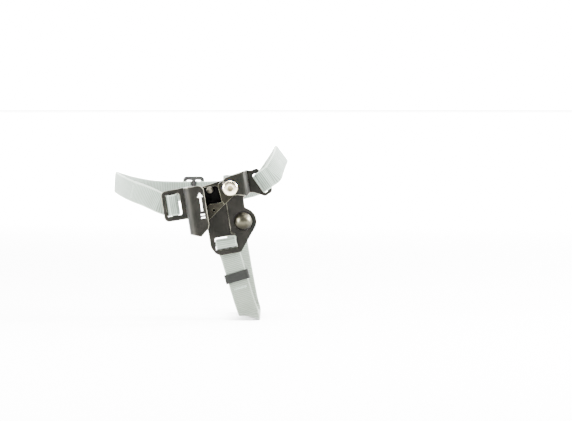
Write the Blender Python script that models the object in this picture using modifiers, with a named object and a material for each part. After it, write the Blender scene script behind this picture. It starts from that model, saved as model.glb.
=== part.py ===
# Foot ascender: a cam rope clamp on an ankle strap and an under-foot strap
# Metres, +Z up, +X towards the toes, the clamp on the -Y side of the foot.
# The origin is the middle of the under-foot strap's upper face, where the sole rests.

from math import acos, atan2, ceil, cos, pi, radians, sin, sqrt, tan

import bmesh
import bpy
from mathutils import Matrix, Vector

# Gaps between pieces
GAP = 0.0003                 # between pieces that lie on each other
PLY_GAP = 0.0004             # between two plies of webbing
OVERCUT = 0.01               # a cutting shape's reach past what it cuts
OUTLINE_PAST = 0.001         # a cutting outline's reach past a wall's outer face
SMALL_CORNER = 0.001
FINE_CORNER = 0.0008

# Webbing
STRAP_WIDTH = 0.0165
STRAP_THICK = 0.0018
SEWN_LENGTH = 0.030          # doubled end that is sewn down beside a bar
LUG_RUN = 0.0036             # the webbing's way from a bar's edge to where its plies meet
SPAN_STEPS = 6               # samples between two rows of a strap's route

# Room for the foot, boot included
FOOT_HALF_WIDTH = 0.0438     # half width that the straps clear
INSTEP_REACH = 0.0252        # origin to the strap over the instep
HEEL_REACH = 0.1095          # origin to the strap behind the heel
INSTEP_HEIGHT = 0.1286
HEEL_HEIGHT = 0.1057

# Place of the clamp
PIVOT_X = -0.0156            # cam pivot from the origin
PIVOT_Z = 0.1031
CLAMP_TILT = radians(9.0)    # the clamp's axis leans back at its top

# Clamp walls, as depths out from the back face
BASE_WALL = 0.0040           # lugs and lobe
FLOOR_WALL = 0.0030          # rope channel's floor and the milled step
WELL_WALL = 0.0019           # floor of the milled well beside the cam
CHANNEL_DEPTH = 0.0132       # floor to the underside of the flap
FLAP_WALL = 0.0030
BEND_RADIUS = 0.0066         # outer radius of the flap's and the bridge's bends
BEND_STEPS = 8

# Rope channel, measured from the cam pivot
CHANNEL_SIDE = 0.0373        # pivot to the channel's outer face
CHANNEL_WIDTH = 0.0163       # outer face to the flap's free edge
CHANNEL_TOP = 0.0057
CHANNEL_FOOT = 0.0350        # pivot down to the flap's lowest tip
FLAP_CORNER = 0.0045
FLAP_NOTCH = 0.0057          # slant at the flap's lower right
FLAP_NOTCH_RUN = 0.0030      # the slant's upper corner above its lower one
FLAP_NOTCH_IN = 0.0010
FLAP_NOTCH_CORNER = 0.002
FLAP_TIP_IN = 0.0020         # lowest tip inside the channel's bend
FLAP_HEEL_IN = 0.0003        # flap's lower left corner
FLAP_HEEL_UP = 0.0029
FLAP_HEEL_TOP = 0.0042
CHANNEL_STEP = 0.0046        # base's lower edge above the flap's lowest tip

# Left lug, with its slot for the heel strap
FRAME_BAR = 0.0031           # bar outside the slot
MIDDLE_BAR = 0.0044          # bar that the webbing goes round
SLOT_GAP = 0.0036            # opening on each side of the middle bar
SLOT_END_CLEAR = 0.00045     # slot end to the webbing's edge
SLOT_CORNER = 0.0008         # corners beside a bar
SLOT_FREE_CORNER = 0.0017    # corners on the side that the webbing stays clear of
LEFT_WEB = 0.0041            # channel's outer face to the slot
LEFT_SLOT_W = -0.0070        # slot's middle below the pivot's level
LEFT_RIM_TOP = 0.0033
LEFT_RIM_FOOT = 0.0041
LUG_CORNER = 0.0040

# Bridge that carries the cam pivot
BRIDGE_SIDE = 0.0148         # pivot to the bridge's outer face
BRIDGE_LEFT = 0.0051
BRIDGE_TOP_LEFT = 0.0068
BRIDGE_TOP_RIGHT = 0.0118
BRIDGE_FOOT = 0.0076
BRIDGE_FOOT_RISE = 0.0008    # rise of the lower edge at the bridge's outer face
BRIDGE_FOOT_DROP = 0.0007    # drop of the lower edge at its inner corner
BRIDGE_CORNER_IN = 0.0024    # outer face to that inner corner
BRIDGE_MARGIN = 0.0004       # bridge round the pivot head
BRIDGE_ROUND_FIRST = radians(-68)
BRIDGE_ROUND_LAST = radians(-218)
BRIDGE_ROUND_STEPS = 12

# Right lug, with its slanted slot for the instep strap
RIGHT_WEB = 0.0074           # bridge's outer face to the middle of the slot's inner edge
RIGHT_SLOT_W = -0.0013
RIGHT_SLOT_SLANT = radians(26.5)
RIGHT_SLOT_GAP = 0.0034
RIGHT_BAR = 0.0040           # bar that the instep strap goes round
RIGHT_RIM = 0.0026
RIGHT_CORNER = 0.0030
RIGHT_HEEL_RISE = 0.0004     # lug's inner lower corner above the bridge's foot

# Lower plate, lobe and slot
LOWER_SIDE = 0.0233          # pivot to the plate's left edge
LOWER_SLOT_U = -0.0104       # middle of the slot
LOWER_SLOT_TOP = 0.0384      # pivot down to the slot
LOWER_MIDDLE_BAR = 0.0033
LOWER_SLOT_GAP = 0.0033
LOWER_FRAME_BAR = 0.0042
STEP_SIDE = 0.0055           # pivot to the milled step's edge
NECK_SIDE = 0.0092           # pivot to the neck's right edge
NECK_FOOT = 0.0177
NECK_TOP_DROP = 0.0020       # neck's upper corner below the bridge's foot
NECK_TAPER = 0.0004
NECK_CORNER = 0.0035
LOWER_RIM = 0.0020           # slot's end to the plate's right edge
LOWER_FOOT_SAG = 0.0003      # how far the lower edge falls to the left
LOWER_FOOT_CORNER = 0.0015
LOWER_SLANT_IN = 0.0029      # slanted lower left corner
LOWER_SLANT_UP = 0.0020
LOWER_SLANT_CORNER = 0.003
LOWER_SIDE_IN = 0.0002       # where the slant meets the left edge
LOWER_SIDE_UP = 0.0030
LOWER_SIDE_CORNER = 0.004
LOBE_MARGIN = 0.0034         # plate round the dome stud
LOBE_FIRST = radians(60)     # where the lobe's round edge starts
LOBE_STEPS = 9
STEP_ABOVE_SLOT = 0.0016     # milled step's edge over the lower slot
STEP_RIM = 0.0002            # full plate left beside the lower slot

# Milled well beside the cam
WELL_TOP = 0.0028
WELL_FOOT = 0.0040           # below the level of the jaw's upper edge
WELL_CORNER = 0.0026
WELL_UNDER_FLAP = 0.0030
WELL_UNDER_CAM = 0.0010
WELL_LEAN = 0.0001

# Rivets and stud
PIVOT_HEAD = 0.0060          # radius of the polished pivot head
PIVOT_HEAD_RISE = 0.0020
PIVOT_SHANK = 0.0031
SPRING_HEAD = 0.0028         # radius of the spring pin's head
SPRING_HEAD_RISE = 0.0012
SPRING_SHANK = 0.0014
SPRING_U = -0.0166
SPRING_W = 0.0004
STUD_U = 0.0057
STUD_W = -0.0286
STUD_HEAD = 0.0074
STUD_HEAD_RISE = 0.0050
STUD_SHANK = 0.0026
TAIL_RATIO = 1.45            # tail radius over shank radius
TAIL_THICK = 0.0010
RIVET_STEPS = 32
DOME_STEPS = 8
STUD_RIM = 0.0004            # straight rim under the dome
# Heads from the middle out: share of the head's radius, and drop below its top
PIVOT_CROWN = [(0, 0.0007), (0.25, 0.0006), (0.45, 0), (0.80, 0.0001), (0.94, 0.0005), (1, 0.0011)]
SPRING_CROWN = [(0, 0.0003), (0.4, 0.0002), (0.6, 0), (0.85, 0.0002), (1, 0.0008)]

# Cam
CAM_HUB = 0.0083             # radius round the pivot
CAM_ARM_SIDE = 0.0098        # pivot to the arm's left flank
CAM_REACH = 0.0308           # pivot to the toothed face
CAM_TOP = 0.0107             # pivot down to the level of the shoulder
CAM_JAW = 0.0130             # height of the toothed face
CAM_JAW_DEPTH = 0.0108       # jaw's front face
CAM_HOLE = 0.0012
CAM_HOLE_U = -0.0159
CAM_HOLE_W = -0.0158
CAM_TEETH = 8
CAM_TOOTH_DEPTH = 0.0008
CAM_TOOTH_FLANK = 0.15       # a tooth's tip below its upper end, as a share of the pitch
CAM_JAW_DROP = 0.0058        # shoulder's level down to the first tooth
CAM_JAW_BULGE = 0.0012       # how far the toothed face swells at its middle
CAM_JAW_IN = 0.0010
CAM_JAW_CORNER = 0.0006
CAM_HUB_FIRST = radians(-52)
CAM_HUB_LAST = radians(128)
CAM_HUB_STEPS = 14
CAM_CROTCH = (0.0013, -0.0069)
CAM_SLOPE_START = 0.0057     # arm's flank to where the slope starts
CAM_SLOPE_END = (-0.0125, -0.0160)
CAM_SLOPE_RUN = 0.0069
CAM_SLOPE_REACH = 0.05
# Arm and shoulder: out from the arm's flank, up from the shoulder's level, corner radius
CAM_ROWS = [
    (-0.0004, 0.0151, 0.0020),
    (-0.0014, 0.0003, 0.0006),
    (CAM_SLOPE_START, 0, 0),
    (0.0085, 0.0003, 0.0010),
    (0.0110, -0.0020, 0.0010),
]

# Rubber keeper on the under-foot strap
KEEPER_HEIGHT = 0.0074
KEEPER_WALL = 0.0013
KEEPER_CLEAR = 0.0004
KEEPER_Z = 0.0325
KEEPER_CORNER = 0.0016
KEEPER_INNER_CORNER = 0.0004

# Plain slide on the far side of the ankle strap
SLIDE_BAR = 0.0032
SLIDE_WALL = 0.0022
SLIDE_GAP = 0.0040
SLIDE_RIM = 0.0032
SLIDE_CORNER = 0.003
SLIDE_WINDOW_CORNER = 0.0006
SLIDE_SHARE = 0.42           # its place, as a share of the way from the origin to the heel
SLIDE_CLEAR = 0.002          # strap's free run beside the slide

# Where the straps leave the clamp, and the loop on the far side
HEEL_END_OUT = 0.0058        # left slot to the ankle strap's last place behind the lug
HEEL_END_UP = 0.0040
SOLE_START_U = 0.0018        # under-foot strap's first place behind the lower plate
SOLE_START_DROP = 0.0010
SOLE_LEAN = radians(17.0)    # the strap runs forward on its way down, and rolls so under the sole
LOOP_X = -0.0150
LOOP_CLEAR = 0.0020          # loop's top above the ankle strap's edge
LOOP_ROUND_DROP = 0.0006     # loop's round top below that
# Loop's way down: across as a share of its radius, and down as a share of the webbing's width
LOOP_ROWS = [(1.0, 0.6), (0.15, 1.05), (0.02, 1.6)]

HALF_THICK = STRAP_THICK / 2
BAR_CLEAR = GAP + HALF_THICK
PLY_PITCH = STRAP_THICK + PLY_GAP
SLOT_LENGTH = STRAP_WIDTH + 2 * SLOT_END_CLEAR
BACK_Y = -(FOOT_HALF_WIDTH + GAP + STRAP_THICK + PLY_GAP + STRAP_THICK + GAP)
FLAP_UNDER = FLOOR_WALL + CHANNEL_DEPTH
FLAP_FACE = FLAP_UNDER + FLAP_WALL
SLANT_OUT = Vector((cos(RIGHT_SLOT_SLANT), sin(RIGHT_SLOT_SLANT)))
SLANT_DOWN = Vector((sin(RIGHT_SLOT_SLANT), -cos(RIGHT_SLOT_SLANT)))
RIGHT_SLOT_MIDDLE = Vector((BRIDGE_SIDE + RIGHT_WEB, RIGHT_SLOT_W))
CLAMP_PLACE = (Matrix.Translation((PIVOT_X, BACK_Y, PIVOT_Z))
               @ Matrix.Rotation(-CLAMP_TILT, 4, "Y"))

# Planes that outlines are drawn in: (u, w) seen from the front, (u, depth) seen from above
FRONT = Matrix(((1, 0, 0, 0), (0, 0, -1, 0), (0, 1, 0, 0), (0, 0, 0, 1)))
PROFILE = Matrix(((1, 0, 0, 0), (0, -1, 0, 0), (0, 0, -1, 0), (0, 0, 0, 1)))

for old in list(bpy.data.objects):
    bpy.data.objects.remove(old)

parts = bpy.data.collections.new("foot_ascender")
cutters = bpy.data.collections.new("cutters")
bpy.context.scene.collection.children.link(parts)
bpy.context.scene.collection.children.link(cutters)

clamp_frame = bpy.data.objects.new("clamp_frame", None)
clamp_frame.matrix_world = CLAMP_PLACE
parts.objects.link(clamp_frame)


def finish(name, colour, roughness, metallic):
    """A Principled material."""
    material = bpy.data.materials.new(name)
    material.use_nodes = True
    shader = material.node_tree.nodes["Principled BSDF"]
    shader.inputs["Base Color"].default_value = (*colour, 1.0)
    shader.inputs["Roughness"].default_value = roughness
    shader.inputs["Metallic"].default_value = metallic
    return material


def new_object(name, mesh, collection=parts, parent=clamp_frame):
    """An object in a collection, riding on the clamp's frame unless told otherwise."""
    thing = bpy.data.objects.new(name, mesh)
    thing.parent = parent
    collection.objects.link(thing)
    if collection is cutters:
        thing.hide_render = True
        thing.display_type = "WIRE"
    return thing


def baked(thing):
    """The object's evaluated mesh with its own placing applied, welded."""
    graph = bpy.context.evaluated_depsgraph_get()
    mesh = bpy.data.meshes.new_from_object(thing.evaluated_get(graph))
    shape = bmesh.new()
    shape.from_mesh(mesh)
    bmesh.ops.transform(shape, matrix=thing.matrix_basis, verts=shape.verts)
    bmesh.ops.remove_doubles(shape, verts=shape.verts, dist=1e-6)
    bmesh.ops.recalc_face_normals(shape, faces=shape.faces)
    shape.to_mesh(mesh)
    shape.free()
    return mesh


def rounded(corners):
    """Outline points from rows of (across, up, corner radius), with an arc at each radius."""
    points = []
    count = len(corners)
    for index, (x, y, radius) in enumerate(corners):
        here = Vector((x, y))
        before = Vector(corners[index - 1][:2]) - here
        after = Vector(corners[(index + 1) % count][:2]) - here
        if radius == 0:
            points.append(here)
            continue
        half = before.angle(after) / 2
        cut = min(radius / tan(half), 0.48 * before.length, 0.48 * after.length)
        arc = cut * tan(half)
        middle = here + (before.normalized() + after.normalized()).normalized() * arc / sin(half)
        start = here + before.normalized() * cut - middle
        turn = start.angle_signed(here + after.normalized() * cut - middle)
        steps = max(2, ceil(abs(turn) / radians(15)))
        for step in range(steps + 1):
            angle = -turn * step / steps
            swung = Vector((start.x * cos(angle) - start.y * sin(angle),
                            start.x * sin(angle) + start.y * cos(angle)))
            points.append(middle + swung)
    return points


def arc_points(middle, radius, first, last, steps):
    """Points on an arc, angles in radians."""
    return [Vector((middle[0] + radius * cos(first + (last - first) * i / steps),
                    middle[1] + radius * sin(first + (last - first) * i / steps)))
            for i in range(steps + 1)]


def extruded(name, outlines, low, high, plane, collection=cutters):
    """A flat outline, with any holes, extruded from one depth to another."""
    curve = bpy.data.curves.new(name, "CURVE")
    curve.dimensions = "2D"
    curve.fill_mode = "BOTH"
    curve.extrude = (high - low) / 2
    for outline in outlines:
        spline = curve.splines.new("POLY")
        spline.points.add(len(outline) - 1)
        spline.use_cyclic_u = True
        for place, point in zip(spline.points, outline):
            place.co = (point[0], point[1], 0, 1)
    drawn = new_object(name + "_outline", curve)
    drawn.parent = None
    drawn.matrix_basis = plane @ Matrix.Translation((0, 0, (high + low) / 2))
    bpy.context.view_layer.update()
    mesh = baked(drawn)
    bpy.data.objects.remove(drawn)
    return new_object(name, mesh, collection)


def combine(target, tool, operation):
    """Join, cut or intersect with a second closed shape."""
    modifier = target.modifiers.new(operation.lower() + "_" + tool.name, "BOOLEAN")
    modifier.operation = operation
    modifier.object = tool
    modifier.solver = "EXACT"


def box_outline(left, right, foot, top, radius):
    """A rounded rectangle's outline."""
    return rounded([(left, foot, radius), (right, foot, radius), (right, top, radius), (left, top, radius)])


def slanted(along, out):
    """A point of the right lug, from its slot's middle: down the slot, and out from it."""
    return RIGHT_SLOT_MIDDLE + SLANT_DOWN * along + SLANT_OUT * out


# Clamp body
left_slot_right = -CHANNEL_SIDE - LEFT_WEB
left_slot_left = left_slot_right - 2 * SLOT_GAP - MIDDLE_BAR
left_reach = left_slot_left - FRAME_BAR
left_top = LEFT_SLOT_W + SLOT_LENGTH / 2 + LEFT_RIM_TOP
left_foot = LEFT_SLOT_W - SLOT_LENGTH / 2 - LEFT_RIM_FOOT
flap_edge = -CHANNEL_SIDE + CHANNEL_WIDTH
channel_inner = -CHANNEL_SIDE + BEND_RADIUS
lower_slot_foot = -LOWER_SLOT_TOP - 2 * LOWER_SLOT_GAP - LOWER_MIDDLE_BAR
lower_foot = lower_slot_foot - LOWER_FRAME_BAR
lobe_radius = STUD_HEAD + LOBE_MARGIN
half_slot = SLOT_LENGTH / 2
right_outer = RIGHT_SLOT_GAP + RIGHT_BAR
lower_right = LOWER_SLOT_U + half_slot + LOWER_RIM
# The lobe's edge leaves its arc on the tangent that meets the plate's lower right corner.
corner_reach = sqrt((lower_right - STUD_U) ** 2 + (lower_foot - STUD_W) ** 2)
lobe_last = atan2(lower_foot - STUD_W, lower_right - STUD_U) + acos(lobe_radius / corner_reach)

base_outline = rounded([
    (left_reach, left_top, LUG_CORNER),
    (-CHANNEL_SIDE, CHANNEL_TOP, 0),
    (channel_inner, CHANNEL_TOP, 0),
    (flap_edge - 0.6 * FLAP_CORNER, CHANNEL_TOP - 0.4 * FLAP_CORNER, 0),
    (-BRIDGE_LEFT, BRIDGE_TOP_LEFT, 0),
    (-0.5 * BRIDGE_LEFT, BRIDGE_TOP_LEFT + 0.4 * BRIDGE_LEFT, 0),
    (BRIDGE_SIDE, BRIDGE_TOP_RIGHT, 0),
    (*slanted(-half_slot - 1.6 * RIGHT_RIM, 0.15 * right_outer), RIGHT_CORNER),
    (*slanted(-half_slot - RIGHT_RIM, right_outer), RIGHT_CORNER),
    (*slanted(half_slot + RIGHT_RIM, right_outer), RIGHT_CORNER),
    (*slanted(half_slot + RIGHT_RIM, -0.1 * right_outer), RIGHT_CORNER),
    (BRIDGE_SIDE + 0.4 * RIGHT_WEB, -BRIDGE_FOOT + RIGHT_HEEL_RISE, RIGHT_CORNER),
    (BRIDGE_SIDE, -BRIDGE_FOOT + BRIDGE_FOOT_RISE, 0),
    (BRIDGE_SIDE - BRIDGE_CORNER_IN, -BRIDGE_FOOT - BRIDGE_FOOT_DROP, 0),
    (NECK_SIDE, -BRIDGE_FOOT - NECK_TOP_DROP, SMALL_CORNER),
    (NECK_SIDE - NECK_TAPER, -NECK_FOOT, NECK_CORNER),
    *[(x, y, 0) for x, y in arc_points((STUD_U, STUD_W), lobe_radius, LOBE_FIRST, lobe_last, LOBE_STEPS)],
    (lower_right, lower_foot, FINE_CORNER),
    (LOWER_SLOT_U - 0.75 * half_slot, lower_foot - LOWER_FOOT_SAG, LOWER_FOOT_CORNER),
    (-LOWER_SIDE + LOWER_SLANT_IN, lower_foot + LOWER_SLANT_UP, LOWER_SLANT_CORNER),
    (-LOWER_SIDE + LOWER_SIDE_IN, lower_slot_foot + LOWER_SIDE_UP, LOWER_SIDE_CORNER),
    (-LOWER_SIDE, -CHANNEL_FOOT + CHANNEL_STEP, 0),
    (-CHANNEL_SIDE, -CHANNEL_FOOT + CHANNEL_STEP, 0),
    (-CHANNEL_SIDE, left_foot, 0),
    (left_reach, left_foot, LUG_CORNER),
])


def opening(at, free, bar, free_corner):
    """Outline of a slot's opening: its free side, the side of its bar, and how round it is."""
    return rounded([(*at(-half_slot, free), free_corner), (*at(-half_slot, bar), SLOT_CORNER),
                    (*at(half_slot, bar), SLOT_CORNER), (*at(half_slot, free), free_corner)])


def beside_channel(along, out):
    """A point of the left lug, from its slot's inner side: up the slot, and out from it."""
    return (left_slot_right - out, LEFT_SLOT_W + along)


def above_foot(along, out):
    """A point of the lower plate, from its slot's top: across the slot, and down from it."""
    return (LOWER_SLOT_U + along, -LOWER_SLOT_TOP - out)


left_slots = [opening(beside_channel, 0, SLOT_GAP, SLOT_FREE_CORNER),
              opening(beside_channel, 2 * SLOT_GAP + MIDDLE_BAR, SLOT_GAP + MIDDLE_BAR, SLOT_CORNER)]
lower_slots = [opening(above_foot, 0, LOWER_SLOT_GAP, SLOT_FREE_CORNER),
               opening(above_foot, 2 * LOWER_SLOT_GAP + LOWER_MIDDLE_BAR, LOWER_SLOT_GAP + LOWER_MIDDLE_BAR,
                       SLOT_CORNER)]
right_slot = opening(slanted, 0, RIGHT_SLOT_GAP, SLOT_FREE_CORNER)

body = extruded("body", [base_outline, *left_slots, *lower_slots, right_slot],
                0, BASE_WALL, FRONT, parts)

# Channel wall and flap: a bent profile cut to the flap's outline
inner_radius = BEND_RADIUS - FLAP_WALL
curl_profile = [
    (-CHANNEL_SIDE, 0),
    *reversed(arc_points((channel_inner, FLAP_FACE - BEND_RADIUS), BEND_RADIUS, pi / 2, pi, BEND_STEPS)),
    (flap_edge, FLAP_FACE),
    (flap_edge, FLAP_UNDER),
    *arc_points((channel_inner, FLAP_FACE - BEND_RADIUS), inner_radius, pi / 2, pi, BEND_STEPS),
    *arc_points((channel_inner, FLOOR_WALL + inner_radius), inner_radius, pi, 1.5 * pi, BEND_STEPS),
    (channel_inner, 0),
]
flap_outline = rounded([
    (-CHANNEL_SIDE - OUTLINE_PAST, CHANNEL_TOP, 0),
    (flap_edge, CHANNEL_TOP, FLAP_CORNER),
    (flap_edge, -CHANNEL_FOOT + FLAP_NOTCH + FLAP_NOTCH_RUN, FLAP_NOTCH_CORNER),
    (flap_edge - FLAP_NOTCH_IN, -CHANNEL_FOOT + FLAP_NOTCH, SMALL_CORNER),
    (channel_inner + FLAP_TIP_IN, -CHANNEL_FOOT, FINE_CORNER),
    (-CHANNEL_SIDE + FLAP_HEEL_IN, -CHANNEL_FOOT + FLAP_HEEL_UP, FINE_CORNER),
    (-CHANNEL_SIDE - OUTLINE_PAST, -CHANNEL_FOOT + FLAP_HEEL_TOP, 0),
])
curl = extruded("channel_curl", [curl_profile], -CHANNEL_TOP - OVERCUT, CHANNEL_FOOT + OVERCUT, PROFILE)
flap_shape = extruded("flap_shape", [flap_outline], -OVERCUT, FLAP_FACE + OVERCUT, FRONT)
combine(curl, flap_shape, "INTERSECT")

# Bridge over the cam, from its own bent profile
bridge_middle = (BRIDGE_SIDE - BEND_RADIUS, FLAP_FACE - BEND_RADIUS)
bridge_profile = [
    (BRIDGE_SIDE, 0),
    *arc_points(bridge_middle, BEND_RADIUS, 0, pi / 2, BEND_STEPS),
    (-BRIDGE_LEFT - OVERCUT, FLAP_FACE),
    (-BRIDGE_LEFT - OVERCUT, FLAP_UNDER),
    *reversed(arc_points(bridge_middle, inner_radius, 0, pi / 2, BEND_STEPS)),
    (BRIDGE_SIDE - FLAP_WALL, 0),
]
bridge_end = PIVOT_HEAD + BRIDGE_MARGIN
bridge_outline = [
    Vector((-BRIDGE_LEFT, BRIDGE_TOP_LEFT)),
    Vector((-0.5 * BRIDGE_LEFT, BRIDGE_TOP_LEFT + 0.4 * BRIDGE_LEFT)),
    Vector((BRIDGE_SIDE, BRIDGE_TOP_RIGHT)),
    Vector((BRIDGE_SIDE + OUTLINE_PAST, BRIDGE_TOP_RIGHT)),
    Vector((BRIDGE_SIDE + OUTLINE_PAST, -BRIDGE_FOOT + BRIDGE_FOOT_RISE)),
    Vector((BRIDGE_SIDE, -BRIDGE_FOOT + BRIDGE_FOOT_RISE)),
    Vector((BRIDGE_SIDE - BRIDGE_CORNER_IN, -BRIDGE_FOOT - BRIDGE_FOOT_DROP)),
    *arc_points((0, 0), bridge_end, BRIDGE_ROUND_FIRST, BRIDGE_ROUND_LAST, BRIDGE_ROUND_STEPS),
]
bridge = extruded("bridge", [bridge_profile], -BRIDGE_TOP_RIGHT - OVERCUT, BRIDGE_FOOT + OVERCUT, PROFILE)
bridge_shape = extruded("bridge_shape", [bridge_outline], -OVERCUT, FLAP_FACE + OVERCUT, FRONT)
combine(bridge, bridge_shape, "INTERSECT")

# Milled floor of the channel and of the lower plate, and the deeper well beside the cam
floor_cut = extruded("floor_cut", [[
    (channel_inner, CHANNEL_TOP + OVERCUT),
    (flap_edge, CHANNEL_TOP + OVERCUT),
    (flap_edge, -CAM_TOP),
    (-STEP_SIDE, -CAM_TOP),
    (-STEP_SIDE, -LOWER_SLOT_TOP + STEP_ABOVE_SLOT),
    (lower_right - LOWER_RIM, -LOWER_SLOT_TOP + STEP_ABOVE_SLOT),
    (lower_right - STEP_RIM, -LOWER_SLOT_TOP),
    (lower_right - STEP_RIM, lower_foot - OVERCUT),
    (channel_inner, lower_foot - OVERCUT),
]], FLOOR_WALL, BASE_WALL + OVERCUT, FRONT)
well_cut = extruded("well_cut", [rounded([
    (flap_edge - WELL_UNDER_FLAP, -CAM_TOP - WELL_FOOT, SMALL_CORNER),
    (-CAM_ARM_SIDE + WELL_UNDER_CAM, -CAM_TOP - WELL_FOOT, SMALL_CORNER),
    (-CAM_ARM_SIDE - WELL_LEAN, WELL_TOP, WELL_CORNER),
    (flap_edge - WELL_UNDER_FLAP, WELL_TOP, SMALL_CORNER),
])], WELL_WALL, BASE_WALL + OVERCUT, FRONT)


def round_cut(name, u, w, radius, low, high):
    """A round cutter across the clamp's depth."""
    return extruded(name, [arc_points((u, w), radius, 0, 2 * pi * (1 - 1 / RIVET_STEPS), RIVET_STEPS - 1)],
                    low, high, FRONT)


combine(body, floor_cut, "DIFFERENCE")
combine(body, well_cut, "DIFFERENCE")
combine(body, curl, "UNION")
combine(body, bridge, "UNION")
for label, u, w, shank in (("pivot", 0, 0, PIVOT_SHANK),
                           ("spring", SPRING_U, SPRING_W, SPRING_SHANK),
                           ("stud", STUD_U, STUD_W, STUD_SHANK)):
    combine(body, round_cut(label + "_bore", u, w, shank + GAP, -OVERCUT, FLAP_FACE + OVERCUT),
            "DIFFERENCE")
    combine(body, round_cut(label + "_sink", u, w, shank * TAIL_RATIO + GAP, -OVERCUT, TAIL_THICK + GAP),
            "DIFFERENCE")

# Cam: hub, arm and toothed jaw, with a slope down from the arm to the jaw
jaw_top = -CAM_TOP - CAM_JAW_DROP
jaw_foot = jaw_top - CAM_JAW
tooth_pitch = CAM_JAW / CAM_TEETH
teeth = []
for tooth in range(CAM_TEETH):
    top_w = jaw_top - tooth * tooth_pitch
    bulge = CAM_JAW_BULGE * sin(pi * (tooth + 0.5) / CAM_TEETH)
    teeth.append((-CAM_REACH - bulge - CAM_TOOTH_DEPTH, top_w - CAM_TOOTH_FLANK * tooth_pitch, 0))
    teeth.append((-CAM_REACH - bulge, top_w - (1 - CAM_TOOTH_FLANK) * tooth_pitch, 0))
cam_outline = rounded([
    *[(x, y, 0) for x, y in arc_points((0, 0), CAM_HUB, CAM_HUB_FIRST, CAM_HUB_LAST, CAM_HUB_STEPS)],
    *[(-CAM_ARM_SIDE - out, -CAM_TOP + up, corner) for out, up, corner in CAM_ROWS],
    *teeth,
    (-CAM_REACH + CAM_JAW_IN, jaw_foot, CAM_JAW_CORNER),
    (*CAM_CROTCH, 0),
])
cam = extruded("cam", [cam_outline], BASE_WALL + GAP, FLAP_UNDER - GAP, FRONT, parts)
slope_first = Vector((-CAM_ARM_SIDE - CAM_SLOPE_START, -CAM_TOP))
slope_line = (Vector(CAM_SLOPE_END) - slope_first).normalized()
slope_out = Vector((-slope_line.y, slope_line.x))
slope_depth = FLAP_UNDER - GAP
slope_plane = Matrix(((slope_out.x, 0, slope_line.x, slope_first.x),
                      (0, -1, 0, 0),
                      (slope_out.y, 0, slope_line.y, slope_first.y),
                      (0, 0, 0, 1)))
slope_cut = extruded("slope_cut", [[
    (-CAM_SLOPE_REACH, CAM_JAW_DEPTH),
    (0, CAM_JAW_DEPTH),
    (CAM_SLOPE_RUN, slope_depth),
    (CAM_SLOPE_RUN, slope_depth + OVERCUT),
    (-CAM_SLOPE_REACH, slope_depth + OVERCUT),
]], -CAM_SLOPE_REACH, CAM_SLOPE_REACH, slope_plane)
combine(cam, slope_cut, "DIFFERENCE")
combine(cam, round_cut("cam_bore", 0, 0, PIVOT_SHANK + GAP, 0, FLAP_FACE), "DIFFERENCE")
combine(cam, round_cut("cam_eye", CAM_HOLE_U, CAM_HOLE_W, CAM_HOLE, 0, FLAP_FACE), "DIFFERENCE")


def turned(name, profile, u, w):
    """A turned piece whose axis runs out of the clamp's face, from (radius, depth) rows."""
    shape = bmesh.new()
    rows = [shape.verts.new((radius, 0, depth)) for radius, depth in profile]
    for first, second in zip(rows, rows[1:]):
        shape.edges.new((first, second))
    mesh = bpy.data.meshes.new(name)
    shape.to_mesh(mesh)
    shape.free()
    piece = new_object(name, mesh)
    piece.location = (u, 0, w)
    piece.rotation_euler = (pi / 2, 0, 0)
    spin = piece.modifiers.new("turned", "SCREW")
    spin.steps = RIVET_STEPS
    spin.render_steps = RIVET_STEPS
    spin.use_merge_vertices = True
    spin.merge_threshold = 0.00001
    return piece


def shank_profile(shank, seat, head):
    """The stem under a head and its flush tail, from the seat down to the axis."""
    tail = shank * TAIL_RATIO
    return [(head, seat + GAP), (shank, seat + GAP), (shank, TAIL_THICK),
            (tail, TAIL_THICK), (tail, 0), (0, 0)]


pivot_top = FLAP_FACE + GAP + PIVOT_HEAD_RISE
pivot_rivet = turned("pivot_rivet", [
    *[(share * PIVOT_HEAD, pivot_top - drop) for share, drop in PIVOT_CROWN],
    *shank_profile(PIVOT_SHANK, FLAP_FACE, PIVOT_HEAD),
], 0, 0)
spring_top = BASE_WALL + GAP + SPRING_HEAD_RISE
spring_pin = turned("spring_pin", [
    *[(share * SPRING_HEAD, spring_top - drop) for share, drop in SPRING_CROWN],
    *shank_profile(SPRING_SHANK, BASE_WALL, SPRING_HEAD),
], SPRING_U, SPRING_W)
stud_ball = (STUD_HEAD ** 2 + STUD_HEAD_RISE ** 2) / (2 * STUD_HEAD_RISE)
stud_sweep = acos(1 - STUD_HEAD_RISE / stud_ball)
stud_top = BASE_WALL + GAP + STUD_HEAD_RISE + STUD_RIM
stud_turns = [stud_sweep * i / DOME_STEPS for i in range(DOME_STEPS + 1)]
dome_stud = turned("dome_stud", [
    *[(stud_ball * sin(turn), stud_top - stud_ball * (1 - cos(turn))) for turn in stud_turns],
    *shank_profile(STUD_SHANK, BASE_WALL, STUD_HEAD),
], STUD_U, STUD_W)


# Webbing
def clamp_point(u, depth, w):
    """A point of the clamp's own frame, in world coordinates."""
    return CLAMP_PLACE @ Vector((u, -depth, w))


def clamp_way(u, w):
    """A direction across the clamp's face, in world coordinates."""
    return (CLAMP_PLACE.to_3x3() @ Vector((u, 0, w))).normalized()


def smooth(before, start, end, after, share):
    """A point of the smooth curve through start and end."""
    return 0.5 * (2 * start + (end - before) * share
                  + (2 * before - 5 * start + 4 * end - after) * share ** 2
                  + (3 * start - before - 3 * end + after) * share ** 3)


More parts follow.
